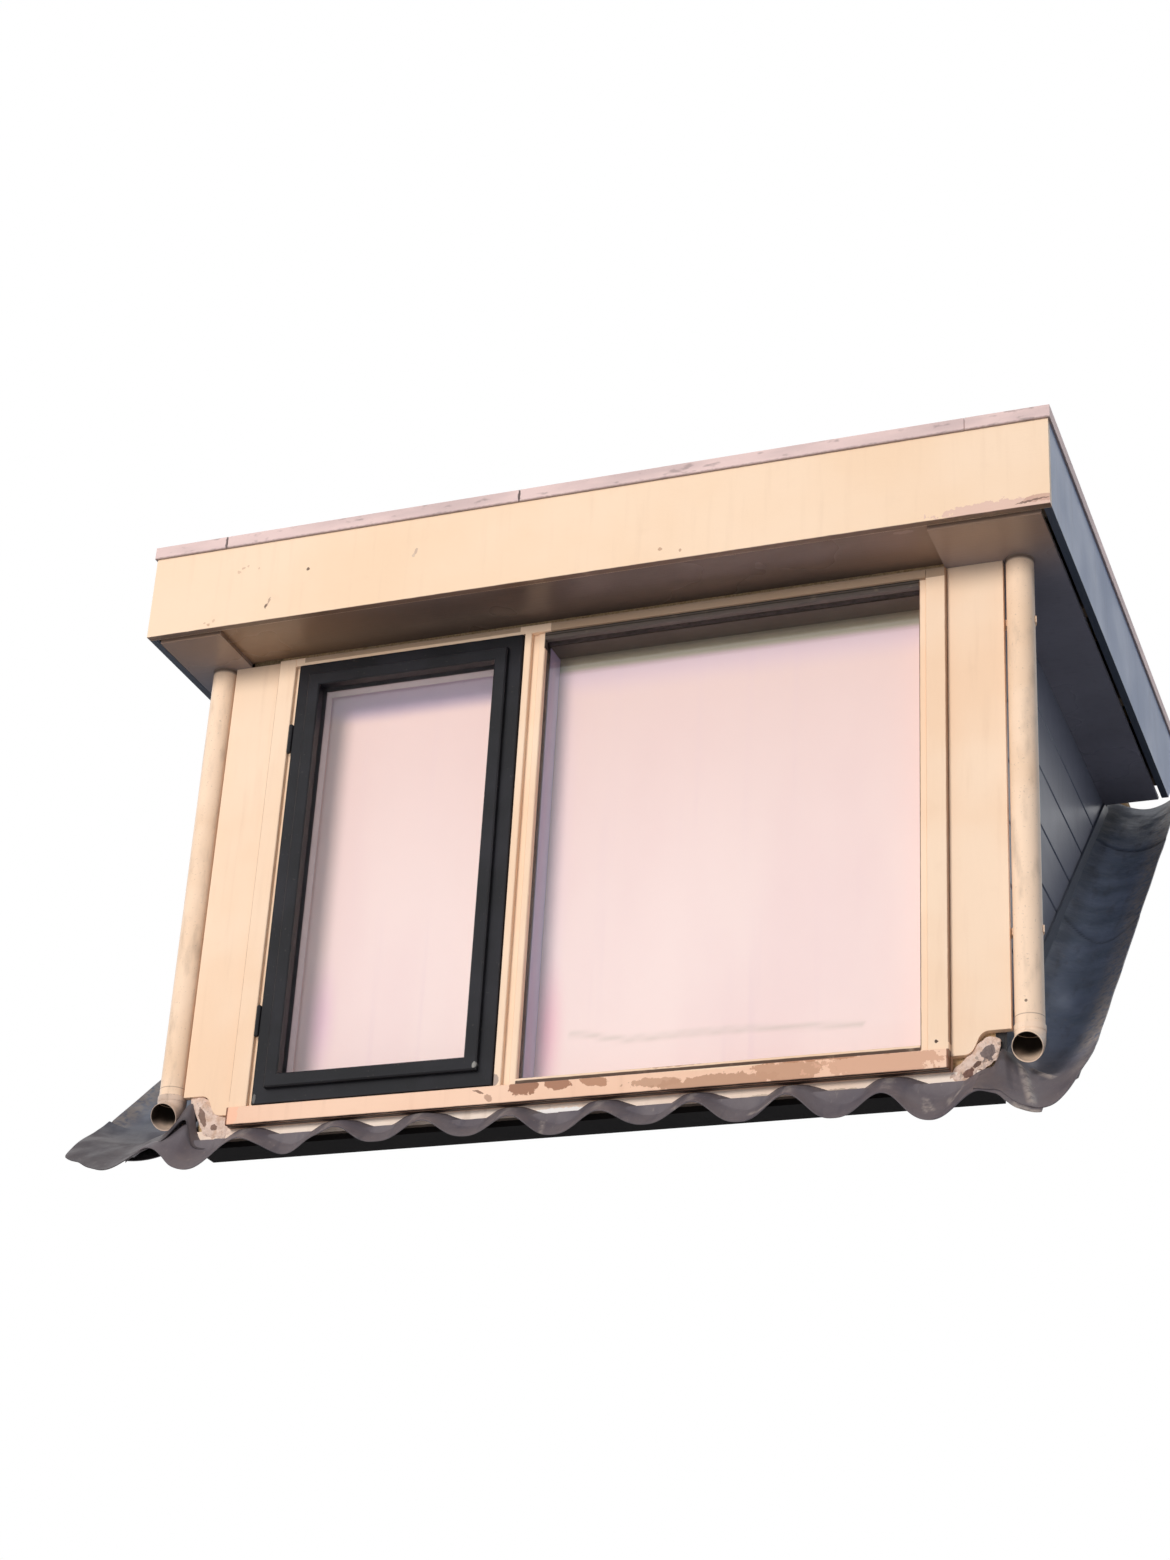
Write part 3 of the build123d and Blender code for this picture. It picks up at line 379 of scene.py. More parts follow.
def sheet_lead():
    """Rolled sheet lead long out of doors: mauve grey oxide, with a painted sky-blue shade higher up, chalky
    where it is creased.
    """
    material, tree, shader, place = begin_finish("weathered_sheet_lead", 0.55, Metallic=0.15)
    oxide = blotches(tree, place, 110, 0.38, 0.68, detail=5.0)
    low = stain(tree, colour("726A6D"), "615A60", oxide).outputs["Result"]
    # The blue-grey colour higher up is painted shade lit by the sky.
    high = stain(tree, colour("818BA0"), "6B7688", oxide).outputs["Result"]
    up = fade(tree, ragged(tree, place, 120, 50), "Y", -60, 200)
    base = add(tree, "ShaderNodeMix", {"Factor": up, "A": low, "B": high}, data_type="RGBA")
    streaks = ("4E4C55", 0.45, 24, 0.52, 0.75, (1, 4, 4), 4.0)
    chalk = ("A0948E", 0.35, 9, 0.62, 0.76, (1, 2, 2), 6.0)
    base = weathered(tree, place, base, streaks, chalk)
    # The first share brings chalk and a painted highlight on the apron's crests; the second brings dirt and
    # painted shade under laps, edges and corners.
    wear_and_painted_light, dirt_and_painted_shade = (
        add(tree, "ShaderNodeAttribute", attribute_name=share).outputs["Fac"] for share in ("wear_and_painted_light", "dirt_and_painted_shade")
    )
    broken = blotches(tree, place, 14, 0.3, 0.6, detail=4.0)
    patchy = add(tree, "ShaderNodeMath", {0: wear_and_painted_light, 1: broken}, operation="MULTIPLY")
    base = stain(tree, base, "B3A79F", patchy, 0.85)
    base = stain(tree, base, "2E2A2C", dirt_and_painted_shade, 0.8)
    gloss = {"Value": blotches(tree, place, 60, 0.4, 0.7), "To Min": 0.45, "To Max": 0.68}
    add(tree, "ShaderNodeMapRange", gloss, to=shader.inputs["Roughness"])
    coat(tree, shader, base, blotches(tree, place, 26, 0.3, 0.75, detail=4.0), 0.9)
    return material


def on_face(y, depth, *rows):
    """Marks on a face at y: a row has x, z, the reach across and up, the turn, colour and strength."""
    return tuple(
        ((x, y, z), (wide, depth, tall), turn, code, strength)
        for x, z, wide, tall, turn, code, strength in rows
    )


MORTAR_PEELED = on_face(
    -60, 40,
    (930, 76, 26, 36, 25, "7B6E6C", 0.95), (886, 34, 26, 16, -35, "75544A", 0.95),
    (905, 52, 16, 10, -35, "6E5348", 0.95), (-925, 74, 18, 40, -25, "8A6F62", 0.95),
    (-893, 46, 16, 14, 20, "8A6F62", 0.95),
)


def painted_mortar():
    """Sand and cement pointing limewashed with the wall paint, which has flaked off in brown patches."""
    material, tree, shader, place = begin_finish("painted_mortar", 0.85)
    base = weathered(tree, place, colour("EDD3C4"), ("D9B8A2", 1.0, 14, 0.4, 0.7, EVEN, 5.0))
    base = covered(tree, place, base, flaked, MORTAR_PEELED)
    base = weathered(tree, place, base, ("8C8076", 0.6, 12, 0.6, 0.68, EVEN, 5.0))
    coat(tree, shader, base, blotches(tree, place, 4, 0.35, 0.7, detail=5.0), 1.2, 0.9)
    return material


def spacer_in_painted_shade():
    """Mill finished aluminium behind glass, coloured dark grey as painted shade from the frame, dulled in
    patches 10 mm across.
    """
    material, tree, shader, place = begin_finish("aluminium_spacer_in_painted_shade", 0.5, Metallic=1.0)
    base = weathered(tree, place, colour("4E4A49"), ("3D3938", 1.0, 10, 0.4, 0.7))
    coat(tree, shader, base, blotches(tree, place, 2, 0.4, 0.6), 0.05)
    return material


def moulded_roller():
    """Moulded grey polystyrene roller ends and tubes: matt with a fine spark grain."""
    material, tree, shader, place = begin_finish("moulded_polystyrene_roller", 0.55)
    base = weathered(tree, place, colour("C9C4BE"), ("B2ABA6", 1.0, 40, 0.4, 0.7))
    coat(tree, shader, base, blotches(tree, place, 1.5, 0.4, 0.6), 0.08)
    return material


# A mark and a peeled field have a middle, a reach and a turn, a box of painted shade or of a dark joint has
# two corners and a patch of painted light and shade a middle and a reach; colour and strength come last in
# each

FASCIA_MARKS = on_face(
    -261, 20,
    (-701, 1406, 6, 5, 0, "5D473A", 0.9), (-801, 1328, 2.5, 15, 20, "A58674", 0.7),
    (-807, 1317, 3.5, 7, 10, "5B463B", 0.85), (-411, 1410, 4, 10, 10, "C9AE9C", 0.8),
    (-416, 1398, 5, 6, 0, "D3BBA8", 0.7), (-962, 1288, 5, 4, 0, "C79E80", 0.7),
    (-973, 1294, 4, 3, 0, "CFA98C", 0.6), (-948, 1298, 4, 6, 20, "D6B193", 0.6),
    (-881, 1438, 5, 3, 0, "CBA386", 0.6), (-893, 1428, 6, 4, 20, "D3AD90", 0.6),
    (-869, 1441, 3, 3, 0, "CFA98C", 0.5), (-838, 1430, 3.5, 3.5, 0, "D3AD90", 0.5),
    (219, 1310, 5, 5, 0, "B98F72", 0.7), (268, 1299, 4, 4, 0, "B08468", 0.7),
    (1092, 1291, 42, 3, -6, "6B5348", 0.8),
)
FASCIA_PEELED = on_face(
    -261, 20, (1010, 1286, 260, 36, 1, "E3C0B2", 0.85), (1110, 1296, 80, 18, -3, "CDA594", 0.8)
)
# Painted shade on the underside of the fascia board.
FASCIA_UNDERSIDE_SHADE = [((-1133, -262, 1272), (1133, -243.5, 1278.3), "54392B", 0.9)]
FRAME_MARKS = (
    ((-185, -80, 99), (12, 30, 16), 0, "A08E86", 0.85),
    ((823, -80, 104), (4.5, 12, 4.5), 0, "4F3B30", 1.0),
)
FRAME_PEELED = [((243, -72, 104), (170, 12, 10), 0, "C29C84", 0.8)]
# Painted shade: the overhang's shadow on both head faces, the dark upper member of the fixed bead with black
# shade lines above and below it, the underside of the head behind the glass, the sky-lit violet shade on the
# mullion's reveal, the line between bead and sill, the recess of the mullion moulding and the shade lines
# between the jambs and the panels; the line at the right of the fixed pane is a dark joint.
FRAME_SHADE_AND_JOINTS = (
    ((-120, -82, 1242), (850, -70, 1275), "9A8068", 0.75),
    ((-780, -82, 1252), (-200, -70, 1275), "9A8068", 0.75),
    ((-138, -73, 1211.5), (788, -55.5, 1246), "464241", 0.95),
    ((-138, -73, 1236), (788, -55.5, 1239), "17100D", 0.9),
    ((-138, -73, 1203), (788, -55.5, 1212), "17100D", 0.95),
    ((-152, -55, 1222), (803, 35, 1231), "2E2925", 0.95),
    ((-153, -55.5, 95), (-135, 35, 1224), "ADA3CE", 0.9),
    ((-137, -73, 84), (788, -58, 96), "3A2010", 0.95),
    ((-152, -70, 96), (-139.5, -40, 1232), "8D6C58", 0.85),
    ((786, -78.6, 90), (789, -50, 1240), "6B4A38", 0.9),
    *(((x - 1.5, -90, 100), (x + 1.5, -60, 1272), "9A7052", 0.8) for x in (850, -850)),
)
SILL_MARKS = (
    *on_face(-86, 12, (-219, 71, 15, 3, 20, "7C5744", 0.85), (-194, 55, 13, 8, 30, "A77F69", 0.7)),
    *on_face(-86, 14, (-840, 72, 22, 40, 0, "FFC4A4", 0.7)),
)
SILL_PEELED = on_face(
    -86, 14,
    (-112, 76, 80, 34, 0, "9C6E55", 0.95), (-30, 76, 60, 30, 0, "A5765C", 0.95),
    (60, 74, 64, 22, 10, "B98A6E", 0.95), (200, 60, 120, 20, 0, "C59B80", 0.9),
    (350, 48, 280, 38, 0, "C0957A", 0.92), (500, 60, 160, 50, 0, "C79A7E", 0.92),
    (700, 62, 240, 60, 0, "DBAC90", 0.92), (560, 88, 330, 15, 0, "B98668", 0.85),
    (330, 84, 190, 9, 0, "FBDDBE", 0.9),
)
# Painted shade under the sill's nose and in the line between bead and sill; the lines at the sill's ends are
# dark joints.
SILL_SHADE_AND_JOINTS = (
    ((-852, -90, 38), (852, -60, 42), "2A130C", 0.95),
    ((-853, -90, 40), (-846, -60, 90), "6A3A24", 0.9),
    ((846, -90, 40), (853, -60, 100), "6A3A24", 0.9),
    ((-137, -81, 84), (788, -58, 92), "3A2010", 0.95),
)
STRIP_MARKS = on_face(
    -57, 8,
    (-32, 22, 80, 9, 0, "FFFFFF", 0.8), (440, 18, 40, 7, 0, "B9A794", 0.6),
    (612, 16, 46, 8, 0, "A39382", 0.7),
)
# Painted shade along the foot of the base strip, where the lead meets it.
STRIP_FOOT_SHADE = [((-962, -58, 12), (962, -44, 15.5), "3A2C24", 0.9)]
# Painted shade on the underside of the side fascias, along their groove by the side soffits.
SIDE_UNDERSIDE_SHADE = [((x - 11, -262, 1272), (x + 11, 1600, 1278.6), "262A32", 0.9) for x in (1123, -1123)]
SOFFIT_MARKS = [((790, -222, 1282), (26, 7, 20), 0, "A89080", 0.5)]
# Painted warm light, bounced up from the lit panels, towards both ends of the front soffit.
SOFFIT_BOUNCE_LIGHT = (
    ((-850, -150, 1282), (520, 260, 60), "97795F", 0.95),
    ((846, -150, 1282), (330, 260, 60), "907562", 0.8),
)
# Painted shade of the side soffits turning warmer towards the front.
EAVES_WARM_SHADE = [((x, -205, 1270), (600, 300, 60), "967C69", 1.0) for x in (976, -976)]
# Painted deeper shade low down on both cheeks.
CHEEK_LOW_SHADE = [((x, 60, 130), (300, 700, 520), "585C6E", 0.8) for x in (951, -951)]
# Painted shade in the notch at the foot of each cheek's front edge.
CHEEK_FOOT_SHADE = [((x - 22.5, -60, 66), (x + 22.5, -43, 140), "1A1614", 0.95) for x in (952.5, -952.5)]

finishes = {
    "fascia": oil_paint(
        "fascia_boards", "FADEC1", "F7D8B8", "D6B496", FASCIA_MARKS, FASCIA_UNDERSIDE_SHADE, 0.15,
        along=(14, 14, 1), peeled=FASCIA_PEELED,
    ),
    "front": oil_paint(
        "frame_and_panels", "FCE0C4", "F8D6B6", "D6B294", FRAME_MARKS, FRAME_SHADE_AND_JOINTS, 0.2, peeled=FRAME_PEELED
    ),
    "sill": oil_paint(
        "sill", "FBD5BA", "F4C9AD", "C99F84", SILL_MARKS, SILL_SHADE_AND_JOINTS, 0.2, along=ALONG_X, peeled=SILL_PEELED
    ),
    "strip": oil_paint("base_strip", "FFEEDF", "F6DCC8", "B59B88", STRIP_MARKS, STRIP_FOOT_SHADE, along=ALONG_X),
    # Painted shade: the side soffits are coloured the blue-grey of the shade they lie in.
    "eaves": oil_paint(
        "side_soffit_in_painted_shade", "85838E", "77757F", "5C5A62", shine=0.3, along=(14, 2, 1), painted_light_and_shade=EAVES_WARM_SHADE
    ),
    # Painted shade: the front soffit is coloured the dark warm taupe of the shade it lies in.
    "soffit": oil_paint(
        "soffit", "6A5A50", "605149", "4C413B", SOFFIT_MARKS, shine=0.3, along=(14, 2, 1), painted_light_and_shade=SOFFIT_BOUNCE_LIGHT
    ),
    # Painted shade: the cheek boards are coloured the blue-grey of the shade they stand in.
    "cheek": oil_paint(
        "cheek_boards", "7A7D8B", "6A6D7C", "50535F", (), CHEEK_FOOT_SHADE, 0.35, along=ALONG_Y, painted_light_and_shade=CHEEK_LOW_SHADE
    ),
    # Painted shade: the slope trims are coloured the deep blue-grey of the shaded gap they stand in.
    "slope": oil_paint("slope_trim", "474D59", "3E444F", "2C3038", (), CHEEK_FOOT_SHADE, 0.35, along=ALONG_Y),
    # Painted shade: the side fascias are coloured the blue of their shade with the sky's reflection.
    "side": oil_paint("side_fascias_in_painted_sky_shade", "98ABCC", "889BBD", "667088", (), SIDE_UNDERSIDE_SHADE, along=ALONG_Y),
    "sash": sash_paint(),
    "glass": pane_glass(),
    "blind": blind_cloth(),
    "roller": moulded_roller(),
    "timber": bare_wood("planed_spruce", "CDB088", "A3825C", "8D8070"),
    # Painted shade: the side frames are coloured dark so that the gaps where they show read as shade.
    "framing": bare_wood("spruce_dark_as_painted_shade", "5B4C3C", "463A2E", "4E4840"),
    # Painted shade: the sole beam is coloured near black so that it reads as the shade under the lead.
    "sole": bare_wood("oak_beam_dark_as_painted_shade", "161211", "0F0C0B", "221D1B"),
    "board": wall_board(),
    "felt": roofing_felt(),
    "trim": roof_trim(),
    "pipe": pipe_paint(
        "oil_paint_on_pvc_pipe", "FFE1C4", "F5D4B4", "8A7868", 0.35,
        [(x, PIPE_Y, 725) for x in (-PIPE_X, PIPE_X)],
    ),
    "bend_right": pipe_paint("oil_paint_on_pvc_bend", "FFE1C6", "EFCFB2", "7A6859", 0.4),
    "bend_left": pipe_paint("dirty_oil_paint_on_pvc_bend", "EACFBA", "B8A08E", "6B5D52", 0.65),
    "lead": sheet_lead(),
    "mortar": painted_mortar(),
    "spacer": spacer_in_painted_shade(),
}
# The nodes that wear each finish, by how their names begin
wearers = {
    "fascia": "fascia_front",
    "front": "front_panel frame_jamb frame_mullion frame_head fixed_bead",
    "sill": "frame_sill",
    "strip": "base_strip",
    "soffit": "soffit_front",
    "eaves": "soffit_left soffit_right",
    "cheek": "cheek_boards",
    "slope": "slope_trim",
    "side": "fascia_left fascia_right",
    "sash": "sash_frame sash_bead hinges",
    "glass": "fixed_glass sash_glass",
    "blind": "blind_casement blind_fixed",
    "roller": "blind_rollers",
    "timber": "base_plate rear_header corner_post head_beam roof_joists roof_kerb roof_deck",
    "framing": "side_frame",
    "sole": "sole_beam",
    "board": "cheek_core lining ceiling",
    "felt": "roof_membrane",
    "trim": "edge_trim",
    "pipe": "downpipe elbow pipe_clips",
    "lead": "lead",
}
for finish, stems in wearers.items():
    for name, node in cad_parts.items():
        if name.startswith(tuple(stems.split())):
            node.data.materials.clear()
            node.data.materials.append(finishes[finish])

# Modelling: a primitive is set down at its size and shaped from there


def smooth(value, low, high):
    """0 below low, 1 above high, and a soft step between."""
    share = min(max((value - low) / (high - low), 0), 1)
    return share * share * (3 - 2 * share)


def plateau(value, start, full, end, gone):
    """1 between full and end, with a soft step up to it and down from it."""
    return smooth(value, start, full) * (1 - smooth(value, end, gone))


def bump_at(value, middle, reach):
    """1 at the middle, falling away softly on both sides."""
    return math.exp(-(((value - middle) / reach) ** 2))


def along_edge(x, points):
    """Where a smooth edge through the points lies at x."""
    x = min(max(x, points[0][0]), points[-1][0])
    place = next(i for i in range(1, len(points)) if x <= points[i][0])
    lean = []
    for i in (place - 1, place):
        before, after = points[max(i - 1, 0)], points[min(i + 1, len(points) - 1)]
        lean.append((after[1] - before[1]) / (after[0] - before[0]))
    (x0, y0), (x1, y1) = points[place - 1], points[place]
    span = x1 - x0
    t = (x - x0) / span
    return (
        (2 * t**3 - 3 * t**2 + 1) * y0
        + (t**3 - 2 * t**2 + t) * span * lean[0]
        + (3 * t**2 - 2 * t**3) * y1
        + (t**3 - t**2) * span * lean[1]
    )


def between(start, end, share):
    """The value that lies this share of the way from start to end."""
    return start + share * (end - start)


def to_segment(x, y, start, end):
    """Distance from a point to a line drawn on the sheet."""
    run = (end[0] - start[0], end[1] - start[1])
    share = ((x - start[0]) * run[0] + (y - start[1]) * run[1]) / (run[0] ** 2 + run[1] ** 2)
    share = min(max(share, 0), 1)
    return math.hypot(x - start[0] - share * run[0], y - start[1] - share * run[1])


def take_up(piece):
    """Selects this piece alone, for the operators that follow."""
    bpy.ops.object.select_all(action="DESELECT")
    bpy.context.view_layer.objects.active = piece
    piece.select_set(True)


def open_mesh():
    """Goes into edit mode with the whole mesh selected."""
    bpy.ops.object.mode_set(mode="EDIT")
    bpy.ops.mesh.select_all(action="SELECT")


def draw_out(way, ratio=1.0, about=(0, 0, 0)):
    """Extrudes what is selected by way and scales it across by ratio."""
    bpy.ops.mesh.extrude_region_move(TRANSFORM_OT_translate={"value": way})
    bpy.ops.transform.resize(value=(ratio, ratio, 1), center_override=about)


def modifier(piece, kind, **settings):
    """Applies a modifier to the piece with these settings."""
    take_up(piece)
    made = piece.modifiers.new(kind.lower(), kind)
    for name, value in settings.items():
        setattr(made, name, value)
    bpy.ops.object.modifier_apply(modifier=made.name)


def done(piece, name, finish, replaced=(), smooth_angle=40):
    """Names a shaped piece, applies its transforms, gives it its finish and its body, and hides the parts it
    stands in for.
    """
    take_up(piece)
    bpy.ops.object.transform_apply(location=True, rotation=True, scale=True)
    bpy.ops.object.shade_smooth_by_angle(angle=math.radians(smooth_angle))
    piece.select_set(False)
    piece.name = name
    piece.data.name = name
    piece.data.materials.clear()
    piece.data.materials.append(finishes[finish])
    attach(piece, "root")
    if replaced:
        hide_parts(*replaced)


def laid_sheet(columns, rows, form, thickness=LEAD_THICKNESS, marks=None):
    """A grid laid out by form(u, v): u runs from left to right, v down; marks give its two shares of wear
    and dirt, which also carry painted light and shade.
    """
    bpy.ops.mesh.primitive_grid_add(x_subdivisions=columns, y_subdivisions=rows, size=1)
    sheet = bpy.context.object
    places = [form(vertex.co.x + 0.5, 0.5 - vertex.co.y) for vertex in sheet.data.vertices]
    for vertex, place in zip(sheet.data.vertices, places):
        vertex.co = place * MM
    if marks:
        shares = [marks(place) for place in places]
        for number, name in enumerate(("wear_and_painted_light", "dirt_and_painted_shade")):
            values = sheet.data.attributes.new(name, "FLOAT", "POINT")
            values.data.foreach_set("value", [share[number] for share in shares])
    modifier(sheet, "SOLIDIFY", thickness=thickness * MM, offset=-1.0)
    return sheet


def block(low, high, arris):
    """A block between two corners with its arrises taken off."""
    middle = [(a + b) / 2 * MM for a, b in zip(low, high)]
    bpy.ops.mesh.primitive_cube_add(size=1, location=middle)
    piece = bpy.context.object
    piece.scale = [(b - a) * MM for a, b in zip(low, high)]
    bpy.ops.object.transform_apply(location=False, rotation=False, scale=True)
    open_mesh()
    bpy.ops.mesh.bevel(offset=arris * MM, segments=2, affect="EDGES")
    bpy.ops.object.mode_set(mode="OBJECT")
    return piece


def turned(foot, steps):
    """A round piece built up from foot in steps of rise and radius, each drawn out of the one before."""
    foot = Vector(foot) * MM
    bpy.ops.mesh.primitive_circle_add(vertices=24, radius=steps[0][1] * MM, fill_type="NGON", location=foot)
    piece = bpy.context.object
    open_mesh()
    for (rise, radius), (next_rise, next_radius) in zip(steps, steps[1:]):
        draw_out((0, 0, (next_rise - rise) * MM), next_radius / radius, foot)
    bpy.ops.mesh.select_all(action="SELECT")
    bpy.ops.mesh.normals_make_consistent(inside=False)
    bpy.ops.object.mode_set(mode="OBJECT")
    return piece


# Lead: the sheets dressed in waves in front and beside the cheeks


def rough(x, y, z, height):
    """An unevenness up to height mm."""
    return height * noise.noise(Vector((x, y, z)))


def roll(x):
    """The wave of the lead: a slow fall to the right, then a steep rise."""
    angle = 2 * math.pi * (x - FIRST_CREST) / ROLL_PITCH
    return math.cos(angle - 0.25 * (1 - math.cos(angle)))


def sloped(x, y, lift):
    """The point of the lead at x and y, lift mm above the line of the slope."""
    return Vector((x, y, (y - WALL_FRONT) * SLOPE + lift - ROOF_DROP))


def beaten(x, y, size=60, height=1.3):
    """The unevenness that the dressing tool leaves, in dents size mm across."""
    return rough(x / size, y / size, size, height)


APRON = (-1075, 1062)
LOW_PITCH = 211.7
LOW_FIRST = -1189
LOW_CRESTS = (
    (-560, 32), (-342, 31), (-131, 25), (80, 22), (287, 26), (502, 26), (715, 17), (932, 21),
)
LOW_TROUGHS = (
    (-560, -11), (-418, -11), (-218, -13), (-22, -25), (195, -18), (406, -29), (625, -36), (836, -32),
)
EDGE_WAVE = 24
BACK_WAVE = 18
EDGE_WIDTH = 60


def edge_lift(x):
    """The lift of the apron's lower edge: round crests, and broad troughs that hang deeper to the right."""
    wave = (0.5 + 0.5 * math.cos(2 * math.pi * (x - LOW_FIRST) / LOW_PITCH)) ** 1.3
    trough = along_edge(x, LOW_TROUGHS)
    measured = between(trough, along_edge(x, LOW_CRESTS), wave)
    return between(EDGE_WAVE * roll(x), measured, plateau(x, -640, -560, 930, 980))


def apron_lift(x, y):
    """The lift of the apron: even waves at the wall that turn into those of the lower edge."""
    out = smooth((STRIP_FRONT - y) / EDGE_WIDTH, 0, 1)
    back = BACK_WAVE * roll(x) + 8 * plateau(x, -600, -540, -260, -200)
    return LEAD_LIFT + between(back, edge_lift(x), out) + beaten(x, y)


EDGE_PLACE = -115
LEFT_EDGE = (
    (-1075, -128), (-1037, -128), (-1000, -136), (-975, -146), (-940, -160), (-911, -157),
    (-880, -146), (-850, -131), (-805, -116), (-780, -116),
)
RIGHT_EDGE = (
    (640, -115), (700, -122), (740, -128), (790, -146), (830, -158), (870, -160), (905, -156),
    (934, -152), (963, -156), (986, -173), (1008, -183), (1025, -181), (1042, -177), (1062, -173),
)


def apron_edge(x):
    """The lower edge of the apron: dressed further down towards both corners."""
    middle = EDGE_PLACE + beaten(x, 0, 90, 3)
    if x < 0:
        share, edge = 1 - smooth(x, -800, -720), LEFT_EDGE
    else:
        share, edge = smooth(x, 640, 700), RIGHT_EDGE
    return between(middle, along_edge(x, edge), share)


# Each turn-up has its middle and height, and its reach to the left, to the right and down from the post
TURN_UPS = {-1: (-957, 80, 36, 17, 44), 1: (960, 46, 14, 26, 34)}
POST_FOOT = -56


def dressed_up(x, y):
    """How far the lead is turned up against the corner posts."""
    middle, height, left, right, down = TURN_UPS[-1 if x < 0 else 1]
    across = bump_at(x, middle, left if x < middle else right)
    return height * across * bump_at(min(y, POST_FOOT), POST_FOOT, down)


SILL_REACH = 858
CEILING = SILL_UNDERSIDE - 4.5
EASED = 2.5
STRIP_FOOT = 13


def apron_form(u, v):
    """The apron from the base strip to its edge, under the sill and tucked under the corner pieces."""
    x = between(*APRON, u)
    back = STRIP_FRONT - 0.5 - 22 * smooth(abs(x), 970, 1000)
    y = between(back, apron_edge(x), v)
    tucked = 9 * smooth(abs(x), 1000, 1035) * smooth(y, -112, -88)
    point = sloped(x, y, apron_lift(x, y) + 0.5 * dressed_up(x, y) - tucked)
    if abs(x) < SILL_REACH and y > SILL_FRONT - 3 and point.z > CEILING:
        point.z = CEILING + EASED * (1 - math.exp(-(point.z - CEILING) / EASED))
    if y > STRIP_FRONT - 20:
        point.z = max(point.z, STRIP_FOOT + beaten(x, y, 20, 0.6))
    return point


SCRATCHES = (
    ((800, -96), (812, -128)), ((806, -96), (826, -122)), ((862, -120), (880, -84)),
    ((855, -100), (862, -124)), ((-60, -84), (-48, -122)), ((250, -100), (262, -120)),
    ((420, -96), (470, -112)),
)


def apron_marks(point):
    """Wear where it is scratched and creased, a painted highlight along the wave crests near the edge,
    darker along the joint with the wall.
    """
    wear_and_painted_light = max(1 - to_segment(point.x, point.y, *line) / 6 for line in SCRATCHES)
    tab = smooth(-point.y, 165, 172) * smooth(point.x, 998, 1010)
    crest_highlight = 0.5 * smooth(roll(point.x), 0.9, 1.0) * smooth(point.y, -112, -104)
    return max(wear_and_painted_light, tab, crest_highlight, 0), 0.5 * smooth(point.y, -66, -58)


apron = laid_sheet(420, 18, apron_form, marks=apron_marks)
done(apron, "lead_apron_sheet", "lead", ("lead_apron",))

# The corner pieces, laid over the ends of the apron and under the side channels

CHANNEL_INNER = 944
CHANNEL_OUTER = {-1: -1247, 1: 1134}
CHANNEL_TOP = 1467
CHANNEL_FOOT = -44.5
CHANNEL_LIFT = 110
CHANNEL_DIP = 30 / math.cos(math.radians(42))


def channel_lift(x, y, side):
    """The trough beside a cheek, hanging between its fold and its outer edge."""
    inner, outer = side * CHANNEL_INNER, CHANNEL_OUTER[side]
    share = (x - inner) / (outer - inner)
    sag = CHANNEL_DIP * math.sin(math.pi * min(max(share, 0), 1)) ** 0.9
    ripple = beaten(x, y, 110, 3.0) * smooth(share, 0.1, 0.4)
    return CHANNEL_LIFT - sag + ripple


RIGHT_FLAP = (915, 1135)
RIGHT_FLAP_EDGE = (
    (915, -146), (934, -152), (948, -150), (963, -148), (986, -160), (1008, -170), (1025, -170),
    (1042, -166), (1070, -163), (1095, -168), (1112, -160), (1122, -140), (1130, -100), (1135, -40),
)
LEFT_FLAP = (-1250, -862)
LEFT_FLAP_EDGE = (
    (-1250, -60), (-1243, -112), (-1231, -135), (-1185, -150), (-1150, -156), (-1119, -156),
    (-1095, -150), (-1070, -140), (-1045, -132), (-1010, -118), (-985, -92), (-955, -84),
    (-925, -86), (-890, -76), (-862, -66),
)
# Creases run between two points of the sheet, with their height and their width
RIGHT_CREASES = (
    ((994, -34), (1038, -154), 7.0, 8), ((1010, 6), (1060, -48), 6.0, 8), ((978, -75), (996, -125), -3.0, 8),
)
LEFT_CREASES = (((-1090, -30), (-1180, -140), 4, 16), ((-1075, 40), (-1060, -40), -3, 12))
LEFT_CHAFE = ((-1105, 90), (-1060, 10))


def creased(x, y, creases):
    """The lift that the creases give the sheet at this place."""
    return sum(height * bump_at(to_segment(x, y, *ends), 0, wide) for *ends, height, wide in creases)


def right_flap_form(u, v):
    """The right corner piece: the apron's wave in front, the side channel's trough behind."""
    x = between(*RIGHT_FLAP, u)
    back = -58 + 120 * smooth(x, 966, 990)
    y = between(back, along_edge(x, RIGHT_FLAP_EDGE), v)
    lift = between(apron_lift(x, y) + 3.2, channel_lift(x, y, 1) + 2.5, smooth(y, -95, 40))
    return sloped(x, y, lift + creased(x, y, RIGHT_CREASES) + dressed_up(x, y))


def right_flap_marks(point):
    """Wear on the two ridges and the outer edge, darker at the post, painted shade where the sheet goes up
    behind it.
    """
    outer = 0.45 * smooth(point.x, 1088, 1122) * smooth(point.y, -130, -40)
    ridges = [1.3 - to_segment(point.x, point.y, *ridge[:2]) / 10 for ridge in RIGHT_CREASES[:2]]
    # Painted shade where the sheet goes up behind the post.
    behind = 0.9 * smooth(point.z, 42, 56) * smooth(-point.x, -990, -978)
    return min(max(0, outer, *ridges), 1), max(0.35 * smooth(-point.x, -1000, -960), behind)


def left_flap_form(u, v):
    """The left corner piece, which reaches further out and lies over the apron's end."""
    x = between(*LEFT_FLAP, u)
    back = 60 - 118 * smooth(x, -990, -966)
    y = between(back, along_edge(x, LEFT_FLAP_EDGE), v)
    bed = LEAD_LIFT + 4 + (13 + 9 * smooth(x, -1040, -960)) * roll(x)
    lift = between(bed, channel_lift(x, y, -1) + 2.5, smooth(y, -80, 40)) + creased(x, y, LEFT_CREASES)
    return sloped(x, y, lift + dressed_up(x, y) + beaten(x, y, 40, 1.5))


